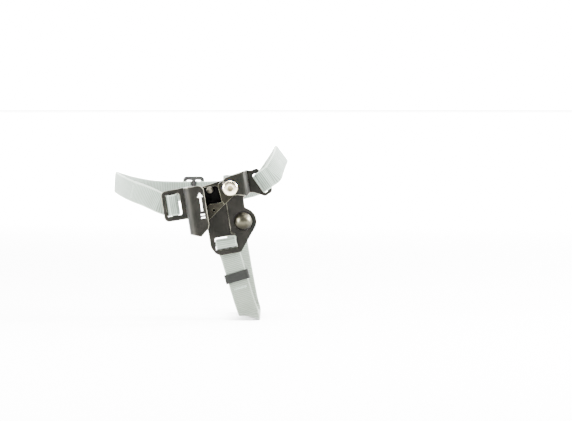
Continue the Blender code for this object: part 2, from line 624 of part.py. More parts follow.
def route(rows):
    """Rows of (place, outward way) as dense stations of (place, across, outward)."""
    places = [row[0] for row in rows]
    outward = [row[1].normalized() for row in rows]
    places = [2 * places[0] - places[1], *places, 2 * places[-1] - places[-2]]
    outward = [outward[0], *outward, outward[-1]]
    samples = []
    for i in range(1, len(places) - 2):
        last = i == len(places) - 3
        for step in range(SPAN_STEPS + (1 if last else 0)):
            share = step / SPAN_STEPS
            samples.append((smooth(*places[i - 1:i + 3], share), smooth(*outward[i - 1:i + 3], share)))
    stations = []
    for i, (place, out) in enumerate(samples):
        ahead = samples[min(i + 1, len(samples) - 1)][0]
        behind = samples[max(i - 1, 0)][0]
        along = (ahead - behind).normalized()
        across = along.cross(out).normalized()
        stations.append((place, across, across.cross(along)))
    return stations


def inner_ply(stations):
    """The sewn-down ply that lies on the foot's side of a route's first stations."""
    ply = []
    run = 0.0
    for i, (place, across, out) in enumerate(stations):
        if i:
            run += (place - stations[i - 1][0]).length
        if run > SEWN_LENGTH:
            break
        ply.append((place - out * PLY_PITCH, across))
    return ply


def ribbon(name, stations, parent=None):
    """Webbing lofted through stations of (place, across)."""
    shape = bmesh.new()
    rows = []
    for place, across in stations:
        rows.append([shape.verts.new(place + across * side * STRAP_WIDTH / 2) for side in (-1, 1)])
    for first, second in zip(rows, rows[1:]):
        shape.faces.new((first[0], second[0], second[1], first[1]))
    mesh = bpy.data.meshes.new(name)
    shape.to_mesh(mesh)
    shape.free()
    strap = new_object(name, mesh, parent=parent)
    wall = strap.modifiers.new("thickness", "SOLIDIFY")
    wall.thickness = STRAP_THICK
    wall.offset = 0.0
    return strap


def swing(middle, radius, first, last, steps=5):
    """Arc of a strap's side view, angles in degrees."""
    return arc_points(middle, radius, radians(first), radians(last), steps)


def bar_turn(near, far, wall):
    """Side view round a bar: behind it, round its slot side, and out over its front."""
    return [*swing((far, 0), BAR_CLEAR, 300, 270, 2), *swing((near, 0), BAR_CLEAR, 270, 180),
            *swing((near, wall), BAR_CLEAR, 180, 90), *swing((far, wall), BAR_CLEAR, 90, 60, 2)]


def slot_turn(frame, near, far, wall):
    """Side view from behind a frame bar, up and over the middle bar, and back under both plies."""
    under = BAR_CLEAR + PLY_PITCH
    bend = under - 0.4 * wall
    return [*swing((frame, 0), BAR_CLEAR, 270, 360), *swing((near, wall), BAR_CLEAR, 180, 90),
            *swing((far, wall), BAR_CLEAR, 90, 0),
            *swing((far + BAR_CLEAR - bend, -under + bend), bend, 0, -90)]


# Ankle strap, from the right lug over the instep, round the heel and back to the left lug
NEAR = Vector((0, -1, 0))
side_y = -(BACK_Y + BAR_CLEAR)
lug_out = (BASE_WALL + PLY_PITCH) / 2
first_u, first_w = slanted(0, right_outer + LUG_RUN)
second_u, second_w = slanted(0, right_outer + 2 * LUG_RUN)
end_u = left_slot_left - HEEL_END_OUT
end_w = LEFT_SLOT_W + HEEL_END_UP
# Columns: x as a share of the instep's reach (ahead) or of the heel's (behind), y as a share of
# the side's distance, height as a share of the instep's (ahead) or the heel's, and the way it faces.
ANKLE_ROWS = [
    (0.825, -0.955, 0.922, (0.60, -0.75, 0.28)),
    (0.905, -0.800, 0.955, (0.72, -0.60, 0.35)),
    (0.968, -0.480, 0.985, (0.79, -0.30, 0.53)),
    (1.000, 0.000, 1.000, (0.80, 0.00, 0.60)),
    (0.955, 0.430, 0.984, (0.78, 0.26, 0.54)),
    (0.760, 0.800, 0.918, (0.60, 0.74, 0.30)),
    (0.320, 0.985, 0.800, (0.12, 0.99, 0.06)),
    (-0.070, 1.000, 0.923, (0.00, 1.00, 0.00)),
    (-0.200, 1.000, 0.914, (0.00, 1.00, 0.00)),
    (-0.370, 0.995, 0.910, (0.00, 1.00, 0.00)),
    (-0.560, 0.965, 0.910, (-0.12, 0.99, 0.00)),
    (-0.740, 0.860, 0.920, (-0.40, 0.91, 0.02)),
    (-0.905, 0.540, 0.958, (-0.78, 0.62, 0.05)),
    (-1.000, 0.000, 1.000, (-1.00, 0.00, 0.06)),
    (-0.950, -0.440, 0.975, (-0.86, -0.50, 0.05)),
    (-0.860, -0.720, 0.936, (-0.60, -0.80, 0.02)),
    (-0.765, -0.890, 0.903, (-0.34, -0.94, 0.00)),
]
ankle_rows = [(clamp_point(first_u, lug_out, first_w), NEAR),
              (clamp_point(second_u, 0.6 * lug_out, second_w), Vector((0.25, -0.95, 0.10)))]
for x, y, z, facing in ANKLE_ROWS:
    reach, height = (INSTEP_REACH, INSTEP_HEIGHT) if x > 0 else (HEEL_REACH, HEEL_HEIGHT)
    ankle_rows.append((Vector((x * reach, y * side_y, z * height)), Vector(facing)))
ankle_rows.append((clamp_point(end_u, -BAR_CLEAR, end_w), NEAR))
ankle = route(ankle_rows)

right_bar_way = clamp_way(*SLANT_DOWN)
right_turn = []
for out, depth in bar_turn(RIGHT_SLOT_GAP, right_outer, BASE_WALL):
    u, w = slanted(0, out)
    right_turn.append((clamp_point(u, depth, w), right_bar_way))
left_turn = []
for u, depth in slot_turn(left_slot_left, left_slot_left + SLOT_GAP, left_slot_right - SLOT_GAP, BASE_WALL):
    left_turn.append((clamp_point(u, depth, LEFT_SLOT_W), clamp_way(0, -1)))

# Plain slide on the far side: the webbing goes under its end bars and over its middle bar
slide_half = 1.5 * SLIDE_BAR + SLIDE_GAP
slide_index = min(range(len(ankle)), key=lambda i: (ankle[i][0] - Vector(
    (-SLIDE_SHARE * HEEL_REACH, side_y, ankle[i][0].z))).length)
slide_middle, slide_across, slide_out = ankle[slide_index]
slide_along = slide_out.cross(slide_across).normalized()
SLIDE_PLACE = Matrix((
    (slide_along.x, slide_out.x, slide_across.x, slide_middle.x),
    (slide_along.y, slide_out.y, slide_across.y, slide_middle.y),
    (slide_along.z, slide_out.z, slide_across.z, slide_middle.z),
    (0, 0, 0, 1)))
slide_low = BAR_CLEAR
slide_high = slide_low + SLIDE_WALL
side_path = [*swing((-1.5 * SLIDE_BAR - SLIDE_GAP + SLIDE_BAR, slide_low), BAR_CLEAR, 270, 360),
             *swing((-0.5 * SLIDE_BAR, slide_high), BAR_CLEAR, 180, 90)]
slide_turn = side_path + [Vector((-point.x, point.y)) for point in reversed(side_path)]
slide_stations = [(SLIDE_PLACE @ Vector((along, out, 0)), slide_across) for along, out in slide_turn]

outer = [(place, across) for place, across, out in ankle]
clear_of_slide = slide_half - SLIDE_BAR + SLIDE_CLEAR
before_slide = [station for i, station in enumerate(outer)
                if i < slide_index and (station[0] - slide_middle).length > clear_of_slide]
after_slide = [station for i, station in enumerate(outer)
               if i > slide_index and (station[0] - slide_middle).length > clear_of_slide]
last_before = before_slide[-1][0]
if (slide_stations[0][0] - last_before).length > (slide_stations[-1][0] - last_before).length:
    slide_stations.reverse()
ankle_strap = ribbon("ankle_strap", [
    *reversed(inner_ply(ankle)), *right_turn, *before_slide, *slide_stations, *after_slide,
    *left_turn, *inner_ply(list(reversed(ankle))),
])

# Under-foot strap, from the lower slot under the sole to a sewn loop on the ankle strap
lower_turn = slot_turn(lower_slot_foot, lower_slot_foot + LOWER_SLOT_GAP,
                       -LOWER_SLOT_TOP - LOWER_SLOT_GAP, FLOOR_WALL)
loop_station = min(ankle, key=lambda station: abs(station[0].x - LOOP_X) + (1 if station[0].y < 0 else 0))
loop_z = loop_station[0].z
UNDER = (-sin(SOLE_LEAN), 0.0, -cos(SOLE_LEAN))
# Columns: x as a share of the clamp's distance behind the origin, y as a share of the side's
# distance, height as a share of the loop's height, and the way the webbing faces.
SOLE_ROWS = [
    (0.610, -1.000, 0.300, (0.00, -1.00, 0.00)),
    (0.310, -1.000, 0.140, (0.00, -1.00, 0.00)),
    (0.140, -0.990, 0.060, (0.00, -1.00, -0.05)),
    (0.030, -0.950, 0.014, (-0.20, -0.72, -0.66)),
    (0.000, -0.860, 0.000, UNDER),
    (0.000, -0.500, 0.000, UNDER),
    (0.000, 0.000, 0.000, UNDER),
    (0.000, 0.500, 0.000, UNDER),
    (0.000, 0.860, 0.000, UNDER),
    (0.030, 0.950, 0.014, (-0.20, 0.72, -0.66)),
    (0.140, 0.985, 0.060, (0.00, 1.00, -0.05)),
    (0.430, 0.975, 0.300, (0.00, 1.00, 0.00)),
    (0.740, 0.950, 0.600, (0.00, 1.00, 0.00)),
]
sole_start = clamp_point(LOWER_SLOT_U + SOLE_START_U, -BAR_CLEAR, lower_foot - SOLE_START_DROP)
sole_rows = [(sole_start, NEAR)]
for x, y, z, facing in SOLE_ROWS:
    sole_rows.append((Vector((x * PIVOT_X, y * side_y, z * loop_z - HALF_THICK)), Vector(facing)))
sole_rows.append((Vector((LOOP_X, loop_station[0].y - PLY_PITCH - GAP, loop_z - STRAP_WIDTH)), -NEAR))
sole = route(sole_rows)
loop_top = loop_z + STRAP_WIDTH / 2 + LOOP_CLEAR
loop_radius = PLY_PITCH + GAP
loop_down = [Vector((out * loop_radius, loop_z - down * STRAP_WIDTH)) for out, down in LOOP_ROWS]
loop_side = [Vector((-loop_down[0].x, loop_down[0].y)),
             *swing((0, loop_top - LOOP_ROUND_DROP), loop_radius, 180, 0, 8), *loop_down]
loop_path = [(Vector((LOOP_X, loop_station[0].y + point.x, point.y)), Vector((-1, 0, 0)))
             for point in loop_side]
lower_stations = [(clamp_point(LOWER_SLOT_U, depth, w), clamp_way(-1, 0)) for w, depth in lower_turn]
sole_strap = ribbon("sole_strap", [
    *reversed(inner_ply(sole)), *reversed(lower_stations), *[station[:2] for station in sole], *loop_path,
])

# Rubber keeper round the two plies of the under-foot strap
keeper_station = min(sole[:SPAN_STEPS * 3], key=lambda station: abs(station[0].z - KEEPER_Z))
keeper_along = keeper_station[2].cross(keeper_station[1]).normalized()
KEEPER_PLACE = Matrix((
    (keeper_station[1].x, keeper_station[2].x, keeper_along.x, keeper_station[0].x),
    (keeper_station[1].y, keeper_station[2].y, keeper_along.y, keeper_station[0].y),
    (keeper_station[1].z, keeper_station[2].z, keeper_along.z, keeper_station[0].z),
    (0, 0, 0, 1)))
keeper_half = STRAP_WIDTH / 2 + KEEPER_CLEAR
keeper_low = -PLY_PITCH - HALF_THICK - KEEPER_CLEAR
keeper_high = HALF_THICK + KEEPER_CLEAR
keeper = extruded("keeper", [
    box_outline(-keeper_half - KEEPER_WALL, keeper_half + KEEPER_WALL,
                keeper_low - KEEPER_WALL, keeper_high + KEEPER_WALL, KEEPER_CORNER),
    box_outline(-keeper_half, keeper_half, keeper_low, keeper_high, KEEPER_INNER_CORNER),
], -KEEPER_HEIGHT / 2, KEEPER_HEIGHT / 2, KEEPER_PLACE, parts)
keeper.parent = None

slide_window = STRAP_WIDTH / 2 + 2 * SLOT_END_CLEAR
slide_outer = slide_window + SLIDE_RIM
window_near = 0.5 * SLIDE_BAR
window_far = window_near + SLIDE_GAP
SLIDE_PLANE = SLIDE_PLACE @ Matrix(((1, 0, 0, 0), (0, 0, 1, 0), (0, 1, 0, 0), (0, 0, 0, 1)))
slide = extruded("strap_slide", [
    box_outline(-slide_half, slide_half, -slide_outer, slide_outer, SLIDE_CORNER),
    box_outline(window_near, window_far, -slide_window, slide_window, SLIDE_WINDOW_CORNER),
    box_outline(-window_far, -window_near, -slide_window, slide_window, SLIDE_WINDOW_CORNER),
], slide_low, slide_high, SLIDE_PLANE, parts)
slide.parent = None

# Finishes
alloy = finish("anodised_alloy", (0.085, 0.082, 0.072), 0.42, 0.9)
steel = finish("cam_steel", (0.20, 0.19, 0.16), 0.38, 1.0)
polished = finish("polished_rivet", (0.75, 0.74, 0.69), 0.16, 1.0)
satin = finish("satin_stud", (0.38, 0.37, 0.33), 0.35, 1.0)
webbing = finish("nylon_webbing", (0.56, 0.60, 0.55), 0.85, 0.0)
rubber = finish("keeper_rubber", (0.11, 0.12, 0.105), 0.7, 0.0)
plastic = finish("slide_plastic", (0.05, 0.05, 0.048), 0.5, 0.0)
for thing, material in ((body, alloy), (cam, steel), (pivot_rivet, polished), (spring_pin, polished),
                        (dome_stud, satin), (ankle_strap, webbing), (sole_strap, webbing),
                        (keeper, rubber), (slide, plastic)):
    thing.data.materials.append(material)

bpy.context.view_layer.update()
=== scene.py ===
import logging
from dataclasses import dataclass, field
from enum import Enum
from math import cos, pi, radians, sin
from typing import Callable, Sequence

import bmesh
import bpy
import numpy as np
from mathutils import Matrix, Vector


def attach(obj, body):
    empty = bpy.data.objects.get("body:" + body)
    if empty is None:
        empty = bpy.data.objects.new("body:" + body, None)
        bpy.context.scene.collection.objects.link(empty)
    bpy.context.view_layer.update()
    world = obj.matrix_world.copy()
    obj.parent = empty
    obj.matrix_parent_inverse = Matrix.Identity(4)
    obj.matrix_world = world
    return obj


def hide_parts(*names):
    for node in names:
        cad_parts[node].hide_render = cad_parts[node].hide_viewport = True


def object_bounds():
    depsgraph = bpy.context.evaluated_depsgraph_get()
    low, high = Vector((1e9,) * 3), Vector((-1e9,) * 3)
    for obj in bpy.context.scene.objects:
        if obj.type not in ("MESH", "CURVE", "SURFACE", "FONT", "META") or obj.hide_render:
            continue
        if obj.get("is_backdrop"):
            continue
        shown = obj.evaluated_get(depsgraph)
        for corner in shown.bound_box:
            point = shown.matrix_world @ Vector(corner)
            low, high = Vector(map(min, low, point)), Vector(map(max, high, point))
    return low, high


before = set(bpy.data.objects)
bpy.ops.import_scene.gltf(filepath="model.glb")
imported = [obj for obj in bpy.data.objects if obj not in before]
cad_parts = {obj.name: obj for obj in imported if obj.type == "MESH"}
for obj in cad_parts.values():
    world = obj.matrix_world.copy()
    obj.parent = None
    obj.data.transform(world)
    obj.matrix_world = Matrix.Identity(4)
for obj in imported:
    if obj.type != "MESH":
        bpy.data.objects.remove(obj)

logging.basicConfig(level=logging.INFO, format="%(message)s")
LOG = logging.getLogger("foot_ascender")

MM = 0.001
SHARP_ANGLE = 30.0
Colour = tuple[float, float, float, float]
Station = tuple[Vector, Vector]


class Body(Enum):
    """The bodies of the part."""

    FRAME = "frame"
    CAM = "cam"


class Slot(Enum):
    """The record's material slots."""

    ALLOY = "alloy"
    CAM = "cam_steel"
    POLISHED = "polished_steel"
    SATIN = "satin_steel"
    WEBBING = "webbing"
    RUBBER = "keeper_rubber"
    PLASTIC = "slide_plastic"


def linear(hex_colour: str) -> Colour:
    """Turn an sRGB hex colour to linear light.

    Args:
        hex_colour: Six hex digits after a hash.

    Returns:
        Red, green, blue and full alpha.
    """
    channels = [int(hex_colour[i:i + 2], 16) / 255 for i in (1, 3, 5)]
    values = [c / 12.92 if c <= 0.04045 else ((c + 0.055) / 1.055) ** 2.4 for c in channels]
    return (*values, 1.0)


def add_node(tree: bpy.types.NodeTree, kind: str, settings: dict | None = None,
             values: dict | None = None, links: dict | None = None) -> bpy.types.Node:
    """Add a node with its settings, its sockets' values and its links.

    Args:
        tree: The node tree.
        kind: The node's type name.
        settings: Attributes of the node.
        values: Values by input name or number.
        links: Output sockets by input name or number.

    Returns:
        The new node.
    """
    node = tree.nodes.new(kind)
    for name, value in (settings or {}).items():
        setattr(node, name, value)
    for name, value in (values or {}).items():
        node.inputs[name].default_value = value
    for name, socket in (links or {}).items():
        tree.links.new(socket, node.inputs[name])
    return node


def new_material(name: str, base: str, metallic: float, roughness: float) -> tuple:
    """Start a material from its Principled shader.

    Args:
        name: The material's name.
        base: Base colour in hex.
        metallic: Metallic value.
        roughness: Roughness value.

    Returns:
        The material, its node tree and its shader.
    """
    material = bpy.data.materials.new(name)
    material.use_nodes = True
    material.diffuse_color = linear(base)
    tree = material.node_tree
    shader = tree.nodes["Principled BSDF"]
    shader.inputs["Base Color"].default_value = linear(base)
    shader.inputs["Metallic"].default_value = metallic
    shader.inputs["Roughness"].default_value = roughness
    return material, tree, shader


def pattern(tree: bpy.types.NodeTree, size_mm: float, stretch: Sequence[float] = (1, 1, 1),
            detail: float = 3.0) -> bpy.types.NodeSocket:
    """A noise whose blotches have a real size, on Object coordinates.

    Args:
        tree: The node tree.
        size_mm: Size of one blotch in millimetres.
        stretch: Factors on the coordinates, so that a high one gives a short grain.
        detail: Octaves of the noise.

    Returns:
        The noise's value.
    """
    place = add_node(tree, "ShaderNodeTexCoord").outputs["Object"]
    turned = add_node(tree, "ShaderNodeMapping", values={"Scale": stretch}, links={"Vector": place})
    noise = add_node(tree, "ShaderNodeTexNoise", values={"Scale": 1 / (size_mm * MM), "Detail": detail},
                     links={"Vector": turned.outputs["Vector"]})
    return noise.outputs["Fac"]


def ramp(tree: bpy.types.NodeTree, value: bpy.types.NodeSocket, low: float, high: float,
         to_low: float = 0.0, to_high: float = 1.0) -> bpy.types.NodeSocket:
    """Map a span of a value smoothly to another span.

    Args:
        tree: The node tree.
        value: The socket to read.
        low: Start of the span read.
        high: End of the span read.
        to_low: Result at the start.
        to_high: Result at the end.

    Returns:
        The mapped value.
    """
    node = add_node(tree, "ShaderNodeMapRange", {"interpolation_type": "SMOOTHSTEP"},
                    {"From Min": low, "From Max": high, "To Min": to_low, "To Max": to_high},
                    {"Value": value})
    return node.outputs["Result"]


def mixed(tree: bpy.types.NodeTree, share: bpy.types.NodeSocket, first: Colour | bpy.types.NodeSocket,
          second: Colour | bpy.types.NodeSocket) -> bpy.types.NodeSocket:
    """Mix two colours, each a value or a socket, by a share.

    Args:
        tree: The node tree.
        share: Share of the second colour.
        first: The first colour.
        second: The second colour.

    Returns:
        The mixed colour.
    """
    node = add_node(tree, "ShaderNodeMix", {"data_type": "RGBA"}, links={0: share})
    for number, colour in ((6, first), (7, second)):
        if isinstance(colour, tuple):
            node.inputs[number].default_value = colour
        else:
            tree.links.new(colour, node.inputs[number])
    return node.outputs[2]


def bump(tree: bpy.types.NodeTree, shader: bpy.types.Node, height: bpy.types.NodeSocket,
         depth_mm: float, strength: float) -> None:
    """Give a shader a bump of a real depth.

    Args:
        tree: The node tree.
        shader: The shader to dress.
        height: Height from 0 to 1.
        depth_mm: Depth of the bump in millimetres.
        strength: Strength of the bump.
    """
    node = add_node(tree, "ShaderNodeBump", values={"Strength": strength, "Distance": depth_mm * MM},
                    links={"Height": height})
    tree.links.new(node.outputs["Normal"], shader.inputs["Normal"])


@dataclass(frozen=True)
class AnodisedAlloy:
    """Tumbled aluminium sheet with dark hard anodising.

    The eye sees a flat warm dark grey with a soft broad sheen, faint dusty blotches and a fine grain.
    """

    name: str = "hard_anodised_aluminium"
    tone: str = "#161614"
    dusty: str = "#1c1b19"
    metallic: float = 1.0
    roughness: float = 0.46
    blotch_mm: float = 9.0
    grain_mm: float = 0.35

    def build(self) -> bpy.types.Material:
        """Build the material.

        Returns:
            The material.
        """
        material, tree, shader = new_material(self.name, self.tone, self.metallic, self.roughness)
        blotch = ramp(tree, pattern(tree, self.blotch_mm), 0.35, 0.75)
        colour = mixed(tree, blotch, linear(self.tone), linear(self.dusty))
        tree.links.new(colour, shader.inputs["Base Color"])
        grain = pattern(tree, self.grain_mm, detail=2.0)
        rough = ramp(tree, pattern(tree, 3.0), 0.3, 0.7, self.roughness - 0.04, self.roughness + 0.07)
        tree.links.new(rough, shader.inputs["Roughness"])
        bump(tree, shader, grain, 0.02, 0.35)
        return material


@dataclass(frozen=True)
class WornEdge:
    """Anodising rubbed thin along an edge, where the paler metal shows through in places."""

    name: str = "worn_aluminium_edge"
    tone: str = "#33322c"
    bare: str = "#5c5b51"

    def build(self) -> bpy.types.Material:
        """Build the material.

        Returns:
            The material.
        """
        material, tree, shader = new_material(self.name, self.bare, metallic=1.0, roughness=0.4)
        wear = ramp(tree, pattern(tree, 4.5, detail=4.0), 0.36, 0.62)
        tree.links.new(mixed(tree, wear, linear(self.tone), linear(self.bare)), shader.inputs["Base Color"])
        return material


@dataclass(frozen=True)
class CamSteel:
    """Cast and plated steel, satin, with a greenish dull plating and brown tarnish at the teeth."""

    name: str = "plated_cast_steel"
    tone: str = "#151411"
    pale: str = "#1c1b16"
    tarnish: str = "#2e1c0e"
    tarnish_x: float = -0.0395

    def build(self) -> bpy.types.Material:
        """Build the material.

        Returns:
            The material.
        """
        material, tree, shader = new_material(self.name, self.tone, metallic=1.0, roughness=0.42)
        blotch = ramp(tree, pattern(tree, 5.0), 0.35, 0.7)
        colour = mixed(tree, blotch, linear(self.tone), linear(self.pale))
        place = add_node(tree, "ShaderNodeTexCoord").outputs["Object"]
        across = add_node(tree, "ShaderNodeSeparateXYZ", links={0: place}).outputs["X"]
        near_teeth = ramp(tree, across, self.tarnish_x, self.tarnish_x + 0.006, 1.0, 0.0)
        spots = ramp(tree, pattern(tree, 1.6), 0.42, 0.62)
        share = add_node(tree, "ShaderNodeMath", {"operation": "MULTIPLY"}, links={0: near_teeth, 1: spots})
        colour = mixed(tree, share.outputs[0], colour, linear(self.tarnish))
        tree.links.new(colour, shader.inputs["Base Color"])
        bump(tree, shader, pattern(tree, 0.5, detail=2.0), 0.03, 0.4)
        return material


@dataclass(frozen=True)
class TurnedSteel:
    """Turned stainless steel: round tool marks under a polish, bright where it faces the light."""

    name: str
    tone: str
    smudge: str
    roughness: float
    metallic: float = 1.0

    def build(self) -> bpy.types.Material:
        """Build the material.

        Returns:
            The material.
        """
        material, tree, shader = new_material(self.name, self.tone, self.metallic, self.roughness)
        smudge = ramp(tree, pattern(tree, 2.4), 0.4, 0.75)
        tree.links.new(mixed(tree, smudge, linear(self.tone), linear(self.smudge)),
                       shader.inputs["Base Color"])
        rough = ramp(tree, pattern(tree, 1.1), 0.3, 0.7, self.roughness * 0.8, self.roughness * 1.25)
        tree.links.new(rough, shader.inputs["Roughness"])
        bump(tree, shader, pattern(tree, 0.3, detail=1.0), 0.01, 0.25)
        return material


@dataclass(frozen=True)
class StudPlating:
    """Dull zinc plating with dark random blotches, painted darker towards the dome's lower side as shade, so
    that its crown reads paler as if lit from above.
    """

    name: str = "dull_zinc_plated_steel"
    crown: str = "#615e50"
    painted_shade_and_blotch: str = "#12110d"
    painted_shade_foot: float = 0.0700
    painted_shade_top: float = 0.0850

    def build(self) -> bpy.types.Material:
        """Build the material.

        Returns:
            The material.
        """
        material, tree, shader = new_material(self.name, self.crown, metallic=1.0, roughness=0.34)
        place = add_node(tree, "ShaderNodeTexCoord").outputs["Object"]
        height = add_node(tree, "ShaderNodeSeparateXYZ", links={0: place}).outputs["Z"]
        # Painted shade: the dome darkens by height from its crown down to its lower side.
        painted_shade_share = ramp(tree, height, self.painted_shade_foot, self.painted_shade_top, 1.0, 0.0)
        colour = mixed(tree, painted_shade_share, linear(self.crown), linear(self.painted_shade_and_blotch))
        blotch = ramp(tree, pattern(tree, 2.4), 0.4, 0.75, 0.0, 0.3)
        tree.links.new(mixed(tree, blotch, colour, linear(self.painted_shade_and_blotch)), shader.inputs["Base Color"])
        bump(tree, shader, pattern(tree, 0.3, detail=1.0), 0.01, 0.25)
        return material


@dataclass(frozen=True)
class NylonWebbing:
    """Woven nylon webbing: crosswise ribs of bundled yarn with painted shade in the grooves between them,
    lighter selvages, and painted shade that darkens it towards the sole.

    The UV map is in millimetres: across the webbing first, then along it.
    """

    name: str = "ribbed_nylon_webbing"
    tone: str = "#59635a"
    groove_shade_and_mottle: str = "#1f241d"
    selvage: str = "#788076"
    painted_low_shade: str = "#383b31"
    painted_low_shade_top: float = 0.110
    width_mm: float = 16.5
    selvage_mm: float = 1.1
    rib_mm: float = 1.45
    yarn_mm: float = 0.62

    def wave(self, tree: bpy.types.NodeTree, value: bpy.types.NodeSocket, pitch_mm: float,
             phase: float) -> bpy.types.NodeSocket:
        """A wave from 0 to 1 along a millimetre coordinate.

        Args:
            tree: The node tree.
            value: The coordinate in millimetres.
            pitch_mm: Length of one wave.
            phase: Start of the wave in radians.

        Returns:
            The wave.
        """
        turn = add_node(tree, "ShaderNodeMath", {"operation": "MULTIPLY_ADD"},
                        {1: 2 * pi / pitch_mm, 2: phase}, {0: value})
        swing = add_node(tree, "ShaderNodeMath", {"operation": "SINE"}, links={0: turn.outputs[0]})
        half = add_node(tree, "ShaderNodeMath", {"operation": "MULTIPLY_ADD"}, {1: 0.5, 2: 0.5},
                        {0: swing.outputs[0]})
        return half.outputs[0]

    def build(self) -> bpy.types.Material:
        """Build the material.

        Returns:
            The material.
        """
        material, tree, shader = new_material(self.name, self.tone, metallic=0.0, roughness=0.82)
        shader.inputs["Sheen Weight"].default_value = 0.25
        shader.inputs["Sheen Roughness"].default_value = 0.5
        shader.inputs["Specular IOR Level"].default_value = 0.3
        flat = add_node(tree, "ShaderNodeUVMap", {"uv_map": "webbing_mm"}).outputs["UV"]
        parts = add_node(tree, "ShaderNodeSeparateXYZ", links={0: flat})
        across, along = parts.outputs["X"], parts.outputs["Y"]
        crest = self.wave(tree, along, self.rib_mm, -pi / 2)
        # Painted shade: the grooves between the ribs darken towards the dark colour.
        groove_shade_and_mottle = ramp(tree, crest, 0.45, 0.0, 0.0, 0.8)
        yarn = self.wave(tree, across, self.yarn_mm, 0.0)
        weave = add_node(tree, "ShaderNodeMath", {"operation": "MULTIPLY"}, links={0: crest, 1: yarn})
        # Random mottling towards the same dark colour, a real greying of the webbing.
        mottle = ramp(tree, pattern(tree, 14.0), 0.3, 0.7, 0.0, 0.22)
        colour = mixed(tree, groove_shade_and_mottle, linear(self.tone), linear(self.groove_shade_and_mottle))
        colour = mixed(tree, mottle, colour, linear(self.groove_shade_and_mottle))
        middle = add_node(tree, "ShaderNodeMath", {"operation": "SUBTRACT"}, {1: self.width_mm / 2},
                          {0: across})
        far = add_node(tree, "ShaderNodeMath", {"operation": "ABSOLUTE"}, links={0: middle.outputs[0]})
        edge = self.width_mm / 2 - self.selvage_mm
        rim = ramp(tree, far.outputs[0], edge, edge + 0.4, 0.0, 0.75)
        colour = mixed(tree, rim, colour, linear(self.selvage))
        place = add_node(tree, "ShaderNodeTexCoord").outputs["Object"]
        height = add_node(tree, "ShaderNodeSeparateXYZ", links={0: place}).outputs["Z"]
        # Painted shade: the webbing darkens by height towards the sole.
        painted_low_shade_share = ramp(tree, height, self.painted_low_shade_top, 0.0, 0.0, 0.6)
        colour = mixed(tree, painted_low_shade_share, colour, linear(self.painted_low_shade))
        tree.links.new(colour, shader.inputs["Base Color"])
        bump(tree, shader, weave.outputs[0], 0.12, 0.6)
        return material


@dataclass(frozen=True)
class SewingThread:
    """Bonded polyester thread, a shade whiter and glossier than the webbing."""

    name: str = "bonded_polyester_thread"
    tone: str = "#5e695f"

    def build(self) -> bpy.types.Material:
        """Build the material.

        Returns:
            The material.
        """
        material, tree, shader = new_material(self.name, self.tone, metallic=0.0, roughness=0.55)
        bump(tree, shader, pattern(tree, 0.2, detail=1.0), 0.03, 0.5)
        return material


@dataclass(frozen=True)
class KeeperRubber:
    """Moulded grey rubber: matt, with a fine bloom and faint flow marks."""

    name: str = "moulded_rubber"
    tone: str = "#090a08"
    bloom: str = "#0d0e0c"

    def build(self) -> bpy.types.Material:
        """Build the material.

        Returns:
            The material.
        """
        material, tree, shader = new_material(self.name, self.tone, metallic=0.0, roughness=0.72)
        shader.inputs["Specular IOR Level"].default_value = 0.1
        bloom = ramp(tree, pattern(tree, 3.0, (1, 1, 3)), 0.35, 0.7)
        tree.links.new(mixed(tree, bloom, linear(self.tone), linear(self.bloom)),
                       shader.inputs["Base Color"])
        bump(tree, shader, pattern(tree, 0.4, detail=2.0), 0.04, 0.4)
        return material


@dataclass(frozen=True)
class SlidePlastic:
    """Injection-moulded acetal with a spark-eroded grain: dark, even and half matt."""

    name: str = "moulded_acetal"
    tone: str = "#141413"
    scuff: str = "#1e1e1c"

    def build(self) -> bpy.types.Material:
        """Build the material.

        Returns:
            The material.
        """
        material, tree, shader = new_material(self.name, self.tone, metallic=0.0, roughness=0.5)
        shader.inputs["Specular IOR Level"].default_value = 0.25
        scuff = ramp(tree, pattern(tree, 4.0), 0.45, 0.8)
        tree.links.new(mixed(tree, scuff, linear(self.tone), linear(self.scuff)),
                       shader.inputs["Base Color"])
        bump(tree, shader, pattern(tree, 0.25, detail=2.0), 0.02, 0.6)
        return material


@dataclass(frozen=True)
class PrintedInk:
    """Pad-printed white ink on the flap, thin and slightly worn."""

    name: str = "pad_printed_ink"
    tone: str = "#e9e9e6"
    thin: str = "#c3c3be"

    def build(self) -> bpy.types.Material:
        """Build the material.

        Returns:
            The material.
        """
        material, tree, shader = new_material(self.name, self.tone, metallic=0.0, roughness=0.5)
        worn = ramp(tree, pattern(tree, 0.9), 0.5, 0.75)
        tree.links.new(mixed(tree, worn, linear(self.tone), linear(self.thin)),
                       shader.inputs["Base Color"])
        return material


@dataclass(frozen=True)
class StudioFloor:
    """Plain pale studio floor, matt."""

    name: str = "pale_floor"
    tone: str = "#f4f4f4"

    def build(self) -> bpy.types.Material:
        """Build the material."""
        return new_material(self.name, self.tone, metallic=0.0, roughness=0.9)[0]


